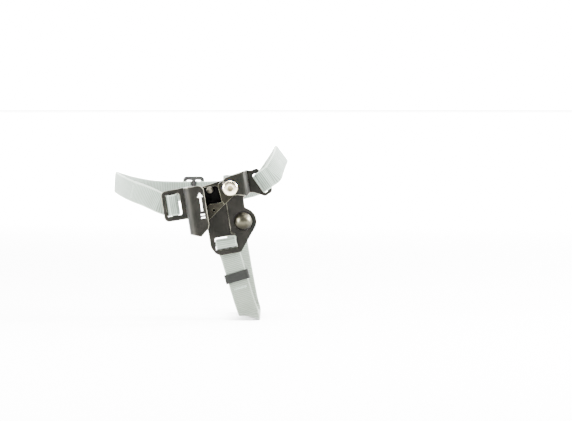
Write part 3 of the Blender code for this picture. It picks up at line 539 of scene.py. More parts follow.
class Finishes:
    """Every material, built once."""

    def __init__(self) -> None:
        """Build the materials."""
        self.alloy = AnodisedAlloy().build()
        # Near-black material for the floor of the frame's well: painted shade where the flap, the bridge and
        # the cam shade it.
        self.well_floor_shade = AnodisedAlloy("painted_shade_well_floor", "#0c0c0c", "#101010", 1.0, 0.7).build()
        self.edge = WornEdge().build()
        self.cam = CamSteel().build()
        self.cam_edge = WornEdge("worn_cam_edge", "#26261f", "#3b3b31").build()
        self.polished = TurnedSteel("polished_stainless_steel", "#c6bea6", "#a79e83", 0.22).build()
        self.peened = TurnedSteel("peened_steel_centre", "#655f4a", "#544e3b", 0.36).build()
        self.satin = TurnedSteel("satin_stainless_steel", "#4d4b42", "#403e35", 0.36).build()
        self.dull = StudPlating().build()
        self.webbing = NylonWebbing().build()
        self.thread = SewingThread().build()
        self.rubber = KeeperRubber().build()
        self.plastic = SlidePlastic().build()
        self.ink = PrintedInk().build()


def select_only(*things: bpy.types.Object) -> None:
    """Select these objects alone and make the first active.

    Args:
        things: The objects.
    """
    bpy.ops.object.select_all(action="DESELECT")
    for thing in things:
        thing.select_set(True)
    bpy.context.view_layer.objects.active = things[0]


def apply_modifier(thing: bpy.types.Object, kind: str, **settings: object) -> None:
    """Add a modifier with its settings and apply it.

    Args:
        thing: The object.
        kind: The modifier's type.
        settings: The modifier's settings.
    """
    modifier = thing.modifiers.new(kind.lower(), kind)
    for name, value in settings.items():
        setattr(modifier, name, value)
    select_only(thing)
    bpy.ops.object.modifier_apply(modifier=modifier.name)


def settle(thing: bpy.types.Object, name: str) -> bpy.types.Object:
    """Name an object and put its place into its mesh.

    Args:
        thing: The object.
        name: Its new name.

    Returns:
        The object.
    """
    thing.name = name
    thing.data.name = name
    select_only(thing)
    bpy.ops.object.transform_apply(location=True, rotation=True, scale=True)
    return thing


def smooth_shade(thing: bpy.types.Object, angle: float = 32) -> None:
    """Shade smooth up to an angle in degrees."""
    select_only(thing)
    bpy.ops.object.shade_smooth_by_angle(angle=radians(angle))


def dress(thing: bpy.types.Object, *materials: bpy.types.Material) -> None:
    """Give an object these materials, in the order of its faces' slots.

    Args:
        thing: The object.
        materials: Its materials.
    """
    slots = thing.data.materials
    for number, material in enumerate(materials):
        if number < len(slots):
            slots[number] = material
        else:
            slots.append(material)


def hand_over(thing: bpy.types.Object, body: Body, slot: Slot, *nodes: str) -> None:
    """Let a piece ride on its body and stand for its nodes.

    Args:
        thing: The piece.
        body: The body that it rides on.
        slot: Not used.
        nodes: The nodes that it stands for.
    """
    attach(thing, body.value)
    if nodes:
        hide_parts(*nodes)
    LOG.info("%s: %d faces", thing.name, len(thing.data.polygons))


def hard_copy(node: str, name: str, radius: float, segments: int = 2,
              share: Callable[[Vector], float] | None = None) -> bpy.types.Object:
    """A merged copy of a hard node's mesh with its outer edges eased.

    Args:
        node: The node to copy.
        name: The piece's name.
        radius: Width of the eased edges.
        segments: Steps across an eased edge.
        share: Share of the radius at an edge's middle, one where it is left out.

    Returns:
        The piece, whose eased edges take its second material.
    """
    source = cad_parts[node]
    piece = bpy.data.objects.new(name, source.data.copy())
    bpy.context.scene.collection.objects.link(piece)
    select_only(piece)
    bpy.ops.object.mode_set(mode="EDIT")
    bpy.ops.mesh.select_all(action="SELECT")
    bpy.ops.mesh.remove_doubles(threshold=0.01 * MM)
    bpy.ops.mesh.dissolve_limited(angle_limit=radians(0.8))
    bpy.ops.object.mode_set(mode="OBJECT")
    smooth_shade(piece, SHARP_ANGLE)
    shape = bmesh.new()
    shape.from_mesh(piece.data)
    weight = shape.edges.layers.float.new("bevel_weight_edge")
    for edge in shape.edges:
        if len(edge.link_faces) == 2 and edge.is_convex and edge.calc_face_angle() > radians(SHARP_ANGLE):
            middle = (edge.verts[0].co + edge.verts[1].co) / 2
            edge[weight] = share(middle) if share else 1.0
    shape.to_mesh(piece.data)
    shape.free()
    piece.data.materials.clear()
    piece.data.materials.append(None)
    piece.data.materials.append(None)
    apply_modifier(piece, "BEVEL", width=radius, segments=segments, limit_method="WEIGHT",
                   material=1, use_clamp_overlap=False, loop_slide=False, harden_normals=True)
    return piece


@dataclass
class Clamp:
    """Sizes of the clamp's frame and the place of its own axes: across, out and up."""

    pivot_x: float = -0.0156
    pivot_z: float = 0.1031
    back_y: float = -0.0484
    tilt: float = radians(9.0)
    base_wall: float = 0.0040
    floor_wall: float = 0.0030
    flap_face: float = 0.0192
    right_slot_middle: Vector = field(default_factory=lambda: Vector((0.0222, -0.0013)))
    right_slot_slant: float = radians(26.5)
    right_slot_gap: float = 0.0034
    right_outer: float = 0.0074
    left_slot_left: float = -0.0530
    left_slot_gap: float = 0.0036
    left_bar_far: float = -0.0450
    left_slot_w: float = -0.0070
    lower_slot_u: float = -0.0104
    lower_slot_top: float = 0.0384
    lower_slot_foot: float = -0.0483
    lower_slot_gap: float = 0.0033
    lower_foot: float = -0.0525

    def __post_init__(self) -> None:
        """Work out the clamp's own axes."""
        self.placing = (Matrix.Translation((self.pivot_x, self.back_y, self.pivot_z))
                        @ Matrix.Rotation(-self.tilt, 4, "Y"))

    def point(self, u: float, depth: float, w: float) -> Vector:
        """A point of the clamp's own frame in the row frame."""
        return self.placing @ Vector((u, -depth, w))

    def way(self, u: float, w: float) -> Vector:
        """A direction across the clamp's face in the row frame."""
        return (self.placing.to_3x3() @ Vector((u, 0, w))).normalized()

    def local(self, point: Vector) -> Vector:
        """A row frame point as across, depth and up of the clamp."""
        found = self.placing.inverted() @ point
        return Vector((found.x, -found.y, found.z))

    def slanted(self, along: float, out: float) -> Vector:
        """A point of the right lug.

        Args:
            along: Distance down the slot from its middle.
            out: Distance out from the slot's inner edge.

        Returns:
            The point across and up the clamp.
        """
        slant = self.right_slot_slant
        return (self.right_slot_middle + Vector((sin(slant), -cos(slant))) * along
                + Vector((cos(slant), sin(slant))) * out)


@dataclass
class ClampFrame:
    """The folded alloy frame with its plain printed direction mark."""

    clamp: Clamp
    finishes: Finishes
    edge_radius: float = 0.5 * MM
    rib_left: float = -0.0022
    rib_right: float = 0.0040
    rib_top: float = -0.0330
    lobe_top: float = -0.0260
    lobe_foot: float = -0.0340
    foot_top: float = -0.0440
    foot_low: float = -0.0515
    leg_left: float = 0.0110
    leg_right: float = 0.0130
    least_share: float = 0.3
    well_left: float = -0.0242
    well_right: float = -0.0080
    well_foot: float = -0.0152
    well_top: float = 0.0036
    well_low: float = 0.0015
    mark_u: float = -0.0248
    mark_top: float = 0.0002
    mark_shaft: float = 0.0014
    mark_head: float = 0.0046
    mark_head_share: float = 0.8
    mark_length: float = 0.0150
    bar_half: float = 1.6 * MM
    bar_height: float = 1.2 * MM
    bar_drops: tuple[float, float] = (3.4 * MM, 5.8 * MM)
    ink_rise: float = 0.05 * MM

    def build(self) -> None:
        """Build the frame and its mark."""
        self.folded_frame()
        self.direction_mark()

    def folded_frame(self) -> None:
        """The frame with eased, worn edges, and the floor of its well painted near black as shade."""
        piece = hard_copy("body", "clamp_frame", self.edge_radius, share=self.edge_share)
        shape = bmesh.new()
        shape.from_mesh(piece.data)
        for face in shape.faces:
            spot = self.clamp.local(face.calc_center_median())
            across = self.well_left < spot.x < self.well_right
            up = self.well_foot < spot.z < self.well_top
            # Painted shade: faces on the floor of the well take the near-black material.
            if across and up and self.well_low < spot.y < self.clamp.base_wall - 0.5 * MM:
                face.material_index = 2
        shape.to_mesh(piece.data)
        shape.free()
        dress(piece, self.finishes.alloy, self.finishes.edge, self.finishes.well_floor_shade)
        hand_over(piece, Body.FRAME, Slot.ALLOY, "body")

    def edge_share(self, middle: Vector) -> float:
        """Share of the edge radius at an edge's middle.

        Args:
            middle: The edge's middle.

        Returns:
            None of it on the hidden back, less where the metal is narrow, all of it elsewhere.
        """
        spot = self.clamp.local(middle)
        if spot.y < 0.6 * MM:
            return 0.0
        if self.rib_left < spot.x < self.rib_right and spot.z < self.rib_top:
            return 0.0 if spot.y > self.clamp.floor_wall + 0.5 * MM else self.least_share
        if spot.x > self.rib_right and spot.z < self.lobe_top:
            fall = min((self.lobe_top - spot.z) / (self.lobe_top - self.lobe_foot), 1.0)
            return 1.0 - (1.0 - self.least_share) * fall
        if self.leg_left < spot.x < self.leg_right and spot.y > self.clamp.base_wall + MM:
            return 0.0
        fall = min(max((self.foot_top - spot.z) / (self.foot_top - self.foot_low), 0.0), 1.0)
        return 1.0 - (1.0 - self.least_share) * fall

    def direction_mark(self) -> None:
        """A plain printed arrow up the flap, with two short bars under it."""
        half = self.mark_shaft / 2
        foot = self.mark_top - self.mark_length
        neck = self.mark_top - self.mark_head * self.mark_head_share
        outlines = [[(-half, foot), (half, foot), (half, neck), (self.mark_head / 2, neck),
                     (0, self.mark_top), (-self.mark_head / 2, neck), (-half, neck)]]
        for drop in self.bar_drops:
            low, high = foot - drop, foot - drop + self.bar_height
            outlines.append([(-self.bar_half, low), (self.bar_half, low),
                             (self.bar_half, high), (-self.bar_half, high)])
        shape = bmesh.new()
        for outline in outlines:
            corners = [shape.verts.new(self.clamp.point(self.mark_u + x, self.clamp.flap_face, w))
                       for x, w in outline]
            shape.faces.new(corners)
        mesh = bpy.data.meshes.new("direction_mark")
        shape.to_mesh(mesh)
        shape.free()
        mark = bpy.data.objects.new("direction_mark", mesh)
        bpy.context.scene.collection.objects.link(mark)
        select_only(mark)
        bpy.ops.object.mode_set(mode="EDIT")
        bpy.ops.mesh.select_all(action="SELECT")
        bpy.ops.mesh.extrude_region_move(TRANSFORM_OT_translate={"value": (0, -self.ink_rise, 0)})
        bpy.ops.mesh.select_all(action="SELECT")
        bpy.ops.mesh.normals_make_consistent(inside=False)
        bpy.ops.object.mode_set(mode="OBJECT")
        dress(mark, self.finishes.ink)
        hand_over(mark, Body.FRAME, Slot.ALLOY)


@dataclass
class Cam:
    """The toothed cam."""

    finishes: Finishes
    edge_radius: float = 0.3 * MM

    def build(self) -> None:
        """Build the cam with eased edges."""
        piece = hard_copy("cam", "cam_piece", self.edge_radius)
        dress(piece, self.finishes.cam, self.finishes.cam_edge)
        hand_over(piece, Body.CAM, Slot.CAM, "cam")


@dataclass
class Turnings:
    """The turned rivets and the domed stud, each spun up from rings."""

    clamp: Clamp
    finishes: Finishes
    sides: int = 64
    gap: float = 0.3 * MM
    tail_thick: float = 1.0 * MM
    tail_ratio: float = 1.45
    pivot_rise: float = 2.0 * MM
    pivot_shank: float = 3.1 * MM
    pivot_under: float = 5.75 * MM
    peened_radius: float = 2.15 * MM
    spring_u: float = -16.6 * MM
    spring_w: float = 0.4 * MM
    spring_rise: float = 1.2 * MM
    spring_shank: float = 1.4 * MM
    spring_under: float = 2.6 * MM
    stud_u: float = 5.7 * MM
    stud_w: float = -28.6 * MM
    stud_head: float = 7.4 * MM
    stud_rise: float = 5.0 * MM
    stud_rim: float = 0.4 * MM
    stud_ease: float = 0.15 * MM
    stud_shank: float = 2.6 * MM
    stud_steps: int = 16

    # Rings of a head from its middle out, in millimetres: radius and depth under its top, and
    # for its skirt radius and height over the seat.
    PIVOT_RINGS = ((0.5, 0.30), (1.2, 0.28), (1.7, 0.22), (2.1, 0.05), (2.5, 0.0), (4.6, 0.06),
                   (5.2, 0.22), (5.65, 0.55), (5.92, 1.0), (6.0, 1.5))
    PIVOT_SKIRT = (5.9, 0.1)
    SPRING_RINGS = ((0.5, 0.30), (1.1, 0.24), (1.6, 0.0), (2.1, 0.08), (2.5, 0.35), (2.75, 0.75),
                    (2.8, 1.0))
    SPRING_SKIRT = (2.7, 0.05)

    def turned(self, name: str, u: float, w: float, rows: Sequence[tuple[float, float]]) -> bpy.types.Object:
        """A turned piece built ring by ring from its top.

        Args:
            name: The piece's name.
            u: Its axis across the clamp.
            w: Its axis up the clamp.
            rows: Radius and depth of each ring, from the head's middle to the tail.

        Returns:
            The piece.
        """
        radius, depth = rows[0]
        bpy.ops.object.select_all(action="DESELECT")
        bpy.ops.mesh.primitive_circle_add(vertices=self.sides, radius=radius, fill_type="TRIFAN",
                                          location=(0, 0, depth))
        piece = bpy.context.object
        bpy.ops.object.transform_apply(location=True, rotation=True, scale=True)
        bpy.ops.object.mode_set(mode="EDIT")
        bpy.ops.mesh.select_mode(type="EDGE")
        for next_radius, next_depth in rows[1:]:
            self.select_ring(piece, radius, depth)
            bpy.ops.mesh.extrude_region_move()
            share = next_radius / radius
            bpy.ops.transform.resize(value=(share, share, 1), center_override=(0, 0, depth))
            bpy.ops.transform.translate(value=(0, 0, next_depth - depth))
            radius, depth = next_radius, next_depth
        self.select_ring(piece, radius, depth)
        bpy.ops.mesh.edge_face_add()
        bpy.ops.mesh.select_all(action="SELECT")
        bpy.ops.mesh.normals_make_consistent(inside=False)
        bpy.ops.object.mode_set(mode="OBJECT")
        piece.data.transform(self.clamp.placing @ Matrix.Translation((u, 0, w))
                             @ Matrix.Rotation(pi / 2, 4, "X"))
        settle(piece, name)
        smooth_shade(piece, 28)
        return piece

    @staticmethod
    def select_ring(piece: bpy.types.Object, radius: float, depth: float) -> None:
        """Select the open ring at a radius and depth in edit mode.

        Args:
            piece: The piece.
            radius: The ring's radius.
            depth: The ring's depth.
        """
        bpy.ops.mesh.select_all(action="DESELECT")
        shape = bmesh.from_edit_mesh(piece.data)
        for edge in shape.edges:
            ends = [vert.co for vert in edge.verts]
            level = all(abs(end.z - depth) < 1e-6 for end in ends)
            round_it = all(abs(end.xy.length - radius) < 1e-6 for end in ends)
            if level and round_it and len(edge.link_faces) == 1:
                edge.select_set(True)
        bmesh.update_edit_mesh(piece.data)

    def stem(self, shank: float, seat: float, head: float) -> list[tuple[float, float]]:
        """Rings of the stem and its flush tail under a head."""
        tail = self.tail_ratio * shank
        return [(head, seat), (shank, seat), (shank, self.tail_thick), (tail, self.tail_thick), (tail, 0.0)]

    @staticmethod
    def head(rings: Sequence[tuple[float, float]], skirt: tuple[float, float], top: float,
             seat: float) -> list[tuple[float, float]]:
        """Rings of a head and its skirt in metres.

        Args:
            rings: Radius and depth under the top, in millimetres.
            skirt: Radius and height over the seat, in millimetres.
            top: Depth of the head's top.
            seat: Depth of the face that it sits on.

        Returns:
            Radius and depth of each ring.
        """
        return [*[(radius * MM, top - drop * MM) for radius, drop in rings],
                (skirt[0] * MM, seat + skirt[1] * MM)]

    def build(self) -> None:
        """Build the pivot rivet, the spring pin and the domed stud."""
        seat = self.clamp.flap_face + self.gap
        pivot = self.turned("pivot_rivet_head", 0, 0, [
            *self.head(self.PIVOT_RINGS, self.PIVOT_SKIRT, seat + self.pivot_rise, seat),
            *self.stem(self.pivot_shank, seat, self.pivot_under)])
        for face in pivot.data.polygons:
            spot = self.clamp.local(face.center)
            if spot.y > self.clamp.flap_face + MM and spot.xz.length < self.peened_radius:
                face.material_index = 1
        dress(pivot, self.finishes.polished, self.finishes.peened)
        hand_over(pivot, Body.FRAME, Slot.POLISHED, "pivot_rivet")
        seat = self.clamp.base_wall + self.gap
        pin = self.turned("spring_pin_head", self.spring_u, self.spring_w, [
            *self.head(self.SPRING_RINGS, self.SPRING_SKIRT, seat + self.spring_rise, seat),
            *self.stem(self.spring_shank, seat, self.spring_under)])
        dress(pin, self.finishes.satin)
        hand_over(pin, Body.FRAME, Slot.POLISHED, "spring_pin")
        self.domed_stud(seat)

    def domed_stud(self, seat: float) -> None:
        """Build the stud: a shallow dome with a narrow rim.

        Args:
            seat: Depth of the face that it sits on.
        """
        head, rise = self.stud_head, self.stud_rise
        ball = (head ** 2 + rise ** 2) / (2 * rise)
        sweep = np.arccos(1 - rise / ball)
        top = seat + rise + self.stud_rim
        turns = [sweep * i / self.stud_steps for i in range(1, self.stud_steps + 1)]
        rows = [(ball * sin(turn), top - ball * (1 - cos(turn))) for turn in turns]
        stud = self.turned("dome_stud_head", self.stud_u, self.stud_w,
                           [*rows, (head, seat + self.stud_ease),
                            *self.stem(self.stud_shank, seat, head - self.stud_ease)])
        dress(stud, self.finishes.dull)
        hand_over(stud, Body.FRAME, Slot.SATIN, "dome_stud")


@dataclass
class Harness:
    """The two straps' routes, the same as the solids'."""

    clamp: Clamp
    width: float = 0.0165
    thick: float = 0.0018
    ply_gap: float = 0.0004
    gap: float = 0.0003
    sewn_length: float = 0.030
    span_steps: int = 6
    instep_reach: float = 0.0252
    heel_reach: float = 0.1095
    instep_height: float = 0.1286
    heel_height: float = 0.1057
    lug_run: float = 0.0036
    loop_x: float = -0.0150
    loop_clear: float = 0.0020
    sole_lean: float = radians(17.0)
    slide_bar: float = 0.0032
    slide_wall: float = 0.0022
    slide_gap: float = 0.0040
    slide_share: float = 0.42
    slide_clear: float = 0.002
    heel_end_out: float = 0.0058
    heel_end_up: float = 0.0040
    sole_start_u: float = 0.0018
    sole_start_drop: float = 0.0010
    loop_round_drop: float = 0.0006

    def __post_init__(self) -> None:
        """Work out the values that follow the sizes."""
        self.half = self.thick / 2
        self.bar_clear = self.gap + self.half
        self.pitch = self.thick + self.ply_gap
        self.near = Vector((0, -1, 0))
        self.side_y = -(self.clamp.back_y + self.bar_clear)

    # Columns: x as a share of the instep's or the heel's reach, y as a share of the side's
    # distance, height as a share of the instep's or the heel's, and the way the webbing faces.
    ANKLE_ROWS = (
        (0.825, -0.955, 0.922, (0.60, -0.75, 0.28)),
        (0.905, -0.800, 0.955, (0.72, -0.60, 0.35)),
        (0.968, -0.480, 0.985, (0.79, -0.30, 0.53)),
        (1.000, 0.000, 1.000, (0.80, 0.00, 0.60)),
        (0.955, 0.430, 0.984, (0.78, 0.26, 0.54)),
        (0.760, 0.800, 0.918, (0.60, 0.74, 0.30)),
        (0.320, 0.985, 0.800, (0.12, 0.99, 0.06)),
        (-0.070, 1.000, 0.923, (0.00, 1.00, 0.00)),
        (-0.200, 1.000, 0.914, (0.00, 1.00, 0.00)),
        (-0.370, 0.995, 0.910, (0.00, 1.00, 0.00)),
        (-0.560, 0.965, 0.910, (-0.12, 0.99, 0.00)),
        (-0.740, 0.860, 0.920, (-0.40, 0.91, 0.02)),
        (-0.905, 0.540, 0.958, (-0.78, 0.62, 0.05)),
        (-1.000, 0.000, 1.000, (-1.00, 0.00, 0.06)),
        (-0.950, -0.440, 0.975, (-0.86, -0.50, 0.05)),
        (-0.860, -0.720, 0.936, (-0.60, -0.80, 0.02)),
        (-0.765, -0.890, 0.903, (-0.34, -0.94, 0.00)),
    )
    # Columns: x as a share of the clamp's distance behind the origin, y as a share of the side's
    # distance, height as a share of the loop's height, and the way the webbing faces; None is
    # the way under the sole.
    SOLE_ROWS = (
        (0.610, -1.000, 0.300, (0.00, -1.00, 0.00)),
        (0.310, -1.000, 0.140, (0.00, -1.00, 0.00)),
        (0.140, -0.990, 0.060, (0.00, -1.00, -0.05)),
        (0.030, -0.950, 0.014, (-0.20, -0.72, -0.66)),
        (0.000, -0.860, 0.000, None),
        (0.000, -0.500, 0.000, None),
        (0.000, 0.000, 0.000, None),
        (0.000, 0.500, 0.000, None),
        (0.000, 0.860, 0.000, None),
        (0.030, 0.950, 0.014, (-0.20, 0.72, -0.66)),
        (0.140, 0.985, 0.060, (0.00, 1.00, -0.05)),
        (0.430, 0.975, 0.300, (0.00, 1.00, 0.00)),
        (0.740, 0.950, 0.600, (0.00, 1.00, 0.00)),
    )
    # Loop's way down: across as a share of its radius, and down as a share of the webbing's width.
    LOOP_ROWS = ((1.0, 0.6), (0.15, 1.05), (0.02, 1.6))

    @staticmethod
    def smooth(before: Vector, start: Vector, end: Vector, after: Vector, share: float) -> Vector:
        """A point of the smooth curve through start and end."""
        return 0.5 * (2 * start + (end - before) * share
                      + (2 * before - 5 * start + 4 * end - after) * share ** 2
                      + (3 * start - before - 3 * end + after) * share ** 3)

    def route(self, rows: Sequence[tuple[Vector, Vector]]) -> list[tuple[Vector, Vector, Vector]]:
        """Turn rows into dense stations.

        Args:
            rows: Place and outward way of each row.

        Returns:
            Place, across way and outward way of each station.
        """
        places = [row[0] for row in rows]
        outward = [row[1].normalized() for row in rows]
        places = [2 * places[0] - places[1], *places, 2 * places[-1] - places[-2]]
        outward = [outward[0], *outward, outward[-1]]
        samples = []
        for i in range(1, len(places) - 2):
            last = i == len(places) - 3
            for step in range(self.span_steps + (1 if last else 0)):
                share = step / self.span_steps
                samples.append((self.smooth(*places[i - 1:i + 3], share),
                                self.smooth(*outward[i - 1:i + 3], share)))
        stations = []
        for i, (place, out) in enumerate(samples):
            ahead = samples[min(i + 1, len(samples) - 1)][0]
            behind = samples[max(i - 1, 0)][0]
            along = (ahead - behind).normalized()
            across = along.cross(out).normalized()
            stations.append((place, across, across.cross(along)))
        return stations

    def inner_ply(self, stations: Sequence[tuple[Vector, Vector, Vector]]) -> list[Station]:
        """The sewn-down ply on the foot's side of a route's first stations.

        Args:
            stations: Place, across way and outward way of each station.

        Returns:
            Place and across way of the ply's stations.
        """
        ply = []
        run = 0.0
        for i, (place, across, out) in enumerate(stations):
            if i:
                run += (place - stations[i - 1][0]).length
            if run > self.sewn_length:
                break
            ply.append((place - out * self.pitch, across))
        return ply

    @staticmethod
    def swing(middle: tuple[float, float], radius: float, first: float, last: float,
              steps: int = 5) -> list[Vector]:
        """Arc of a strap's side view, angles in degrees."""
        turn = [radians(first + (last - first) * i / steps) for i in range(steps + 1)]
        return [Vector((middle[0] + radius * cos(angle), middle[1] + radius * sin(angle))) for angle in turn]

    def bar_turn(self, near: float, far: float, wall: float) -> list[Vector]:
        """Side view round a bar: behind it, round its slot side, and out over its front."""
        clear = self.bar_clear
        return [*self.swing((far, 0), clear, 300, 270, 2), *self.swing((near, 0), clear, 270, 180),
                *self.swing((near, wall), clear, 180, 90), *self.swing((far, wall), clear, 90, 60, 2)]

    def slot_turn(self, frame_bar: float, near: float, far: float, wall: float) -> list[Vector]:
        """Side view from behind a frame bar, over the middle bar, and back under both plies.

        Args:
            frame_bar: The frame bar's edge at the slot.
            near: The middle bar's nearer edge.
            far: The middle bar's farther edge.
            wall: Thickness of the bars.

        Returns:
            Points of the way, across and out.
        """
        clear = self.bar_clear
        under = clear + self.pitch
        bend = under - 0.4 * wall
        return [*self.swing((frame_bar, 0), clear, 270, 360), *self.swing((near, wall), clear, 180, 90),
                *self.swing((far, wall), clear, 90, 0),
                *self.swing((far + clear - bend, -under + bend), bend, 0, -90)]

    def ankle(self) -> list[tuple[Vector, Vector, Vector]]:
        """Lay out the ankle strap between the lugs.

        Returns:
            Place, across way and outward way of each station.
        """
        clamp = self.clamp
        lug_out = (clamp.base_wall + self.pitch) / 2
        first = clamp.slanted(0, clamp.right_outer + self.lug_run)
        second = clamp.slanted(0, clamp.right_outer + 2 * self.lug_run)
        rows = [(clamp.point(first.x, lug_out, first.y), self.near),
                (clamp.point(second.x, 0.6 * lug_out, second.y), Vector((0.25, -0.95, 0.10)))]
        for x, y, z, facing in self.ANKLE_ROWS:
            ahead = x > 0
            reach = self.instep_reach if ahead else self.heel_reach
            height = self.instep_height if ahead else self.heel_height
            rows.append((Vector((x * reach, y * self.side_y, z * height)), Vector(facing)))
        end = clamp.point(clamp.left_slot_left - self.heel_end_out, -self.bar_clear,
                          clamp.left_slot_w + self.heel_end_up)
        rows.append((end, self.near))
        return self.route(rows)

    def ankle_stations(self) -> list[Station]:
        """Lay out the whole ankle strap, sewn plies, turns and slide included.

        Returns:
            Place and across way of each station.
        """
        clamp = self.clamp
        ankle = self.ankle()
        down = clamp.way(sin(clamp.right_slot_slant), -cos(clamp.right_slot_slant))
        right_turn = []
        for out, depth in self.bar_turn(clamp.right_slot_gap, clamp.right_outer, clamp.base_wall):
            spot = clamp.slanted(0, out)
            right_turn.append((clamp.point(spot.x, depth, spot.y), down))
        left_turn = [(clamp.point(u, depth, clamp.left_slot_w), clamp.way(0, -1))
                     for u, depth in self.slot_turn(clamp.left_slot_left,
                                                    clamp.left_slot_left + clamp.left_slot_gap,
                                                    clamp.left_bar_far, clamp.base_wall)]
        index = min(range(len(ankle)), key=lambda i: (ankle[i][0] - Vector(
            (-self.slide_share * self.heel_reach, self.side_y, ankle[i][0].z))).length)
        middle, across, out = ankle[index]
        along = out.cross(across).normalized()
        bar = self.bar_clear
        end_bar = -0.5 * self.slide_bar - self.slide_gap
        path = [*self.swing((end_bar, bar), bar, 270, 360),
                *self.swing((-0.5 * self.slide_bar, bar + self.slide_wall), bar, 180, 90)]
        path += [Vector((-point.x, point.y)) for point in reversed(path)]
        slide = [(middle + along * point.x + out * point.y, across) for point in path]
        clear = self.slide_clear - end_bar
        outer = [(place, way) for place, way, _ in ankle]
        before = [s for i, s in enumerate(outer) if i < index and (s[0] - middle).length > clear]
        after = [s for i, s in enumerate(outer) if i > index and (s[0] - middle).length > clear]
        if (slide[0][0] - before[-1][0]).length > (slide[-1][0] - before[-1][0]).length:
            slide.reverse()
        return [*reversed(self.inner_ply(ankle)), *right_turn, *before, *slide, *after, *left_turn,
                *self.inner_ply(list(reversed(ankle)))]

    def loop_place(self) -> Vector:
        """Middle of the ankle strap where the under-foot strap's loop holds it."""
        far = [place for place, _, _ in self.ankle() if place.y > 0]
        return min(far, key=lambda place: abs(place.x - self.loop_x))

    def sole(self) -> list[tuple[Vector, Vector, Vector]]:
        """Lay out the under-foot strap between the lower slot and its loop.

        Returns:
            Place, across way and outward way of each station.
        """
        clamp = self.clamp
        loop = self.loop_place()
        under = Vector((-sin(self.sole_lean), 0, -cos(self.sole_lean)))
        start = clamp.point(clamp.lower_slot_u + self.sole_start_u, -self.bar_clear,
                            clamp.lower_foot - self.sole_start_drop)
        rows = [(start, self.near)]
        for x, y, z, facing in self.SOLE_ROWS:
            rows.append((Vector((x * clamp.pivot_x, y * self.side_y, z * loop.z - self.half)),
                         Vector(facing) if facing else under))
        rows.append((Vector((self.loop_x, loop.y - self.pitch - self.gap, loop.z - self.width)), -self.near))
        return self.route(rows)

    def sole_stations(self) -> list[Station]:
        """Lay out the whole under-foot strap, sewn ply, turn and loop included.

        Returns:
            Place and across way of each station.
        """
        clamp = self.clamp
        sole = self.sole()
        loop = self.loop_place()
        turn = [(clamp.point(clamp.lower_slot_u, depth, w), clamp.way(-1, 0))
                for w, depth in self.slot_turn(clamp.lower_slot_foot,
                                               clamp.lower_slot_foot + clamp.lower_slot_gap,
                                               -clamp.lower_slot_top - clamp.lower_slot_gap,
                                               clamp.floor_wall)]
        top = loop.z + self.width / 2 + self.loop_clear
        radius = self.pitch + self.gap
        down = [Vector((out * radius, loop.z - drop * self.width)) for out, drop in self.LOOP_ROWS]
        side = [Vector((-down[0].x, down[0].y)),
                *self.swing((0, top - self.loop_round_drop), radius, 180, 0, 8), *down]
        ring = [(Vector((self.loop_x, loop.y + point.x, point.y)), Vector((-1, 0, 0))) for point in side]
        return [*reversed(self.inner_ply(sole)), *reversed(turn), *[s[:2] for s in sole], *ring]


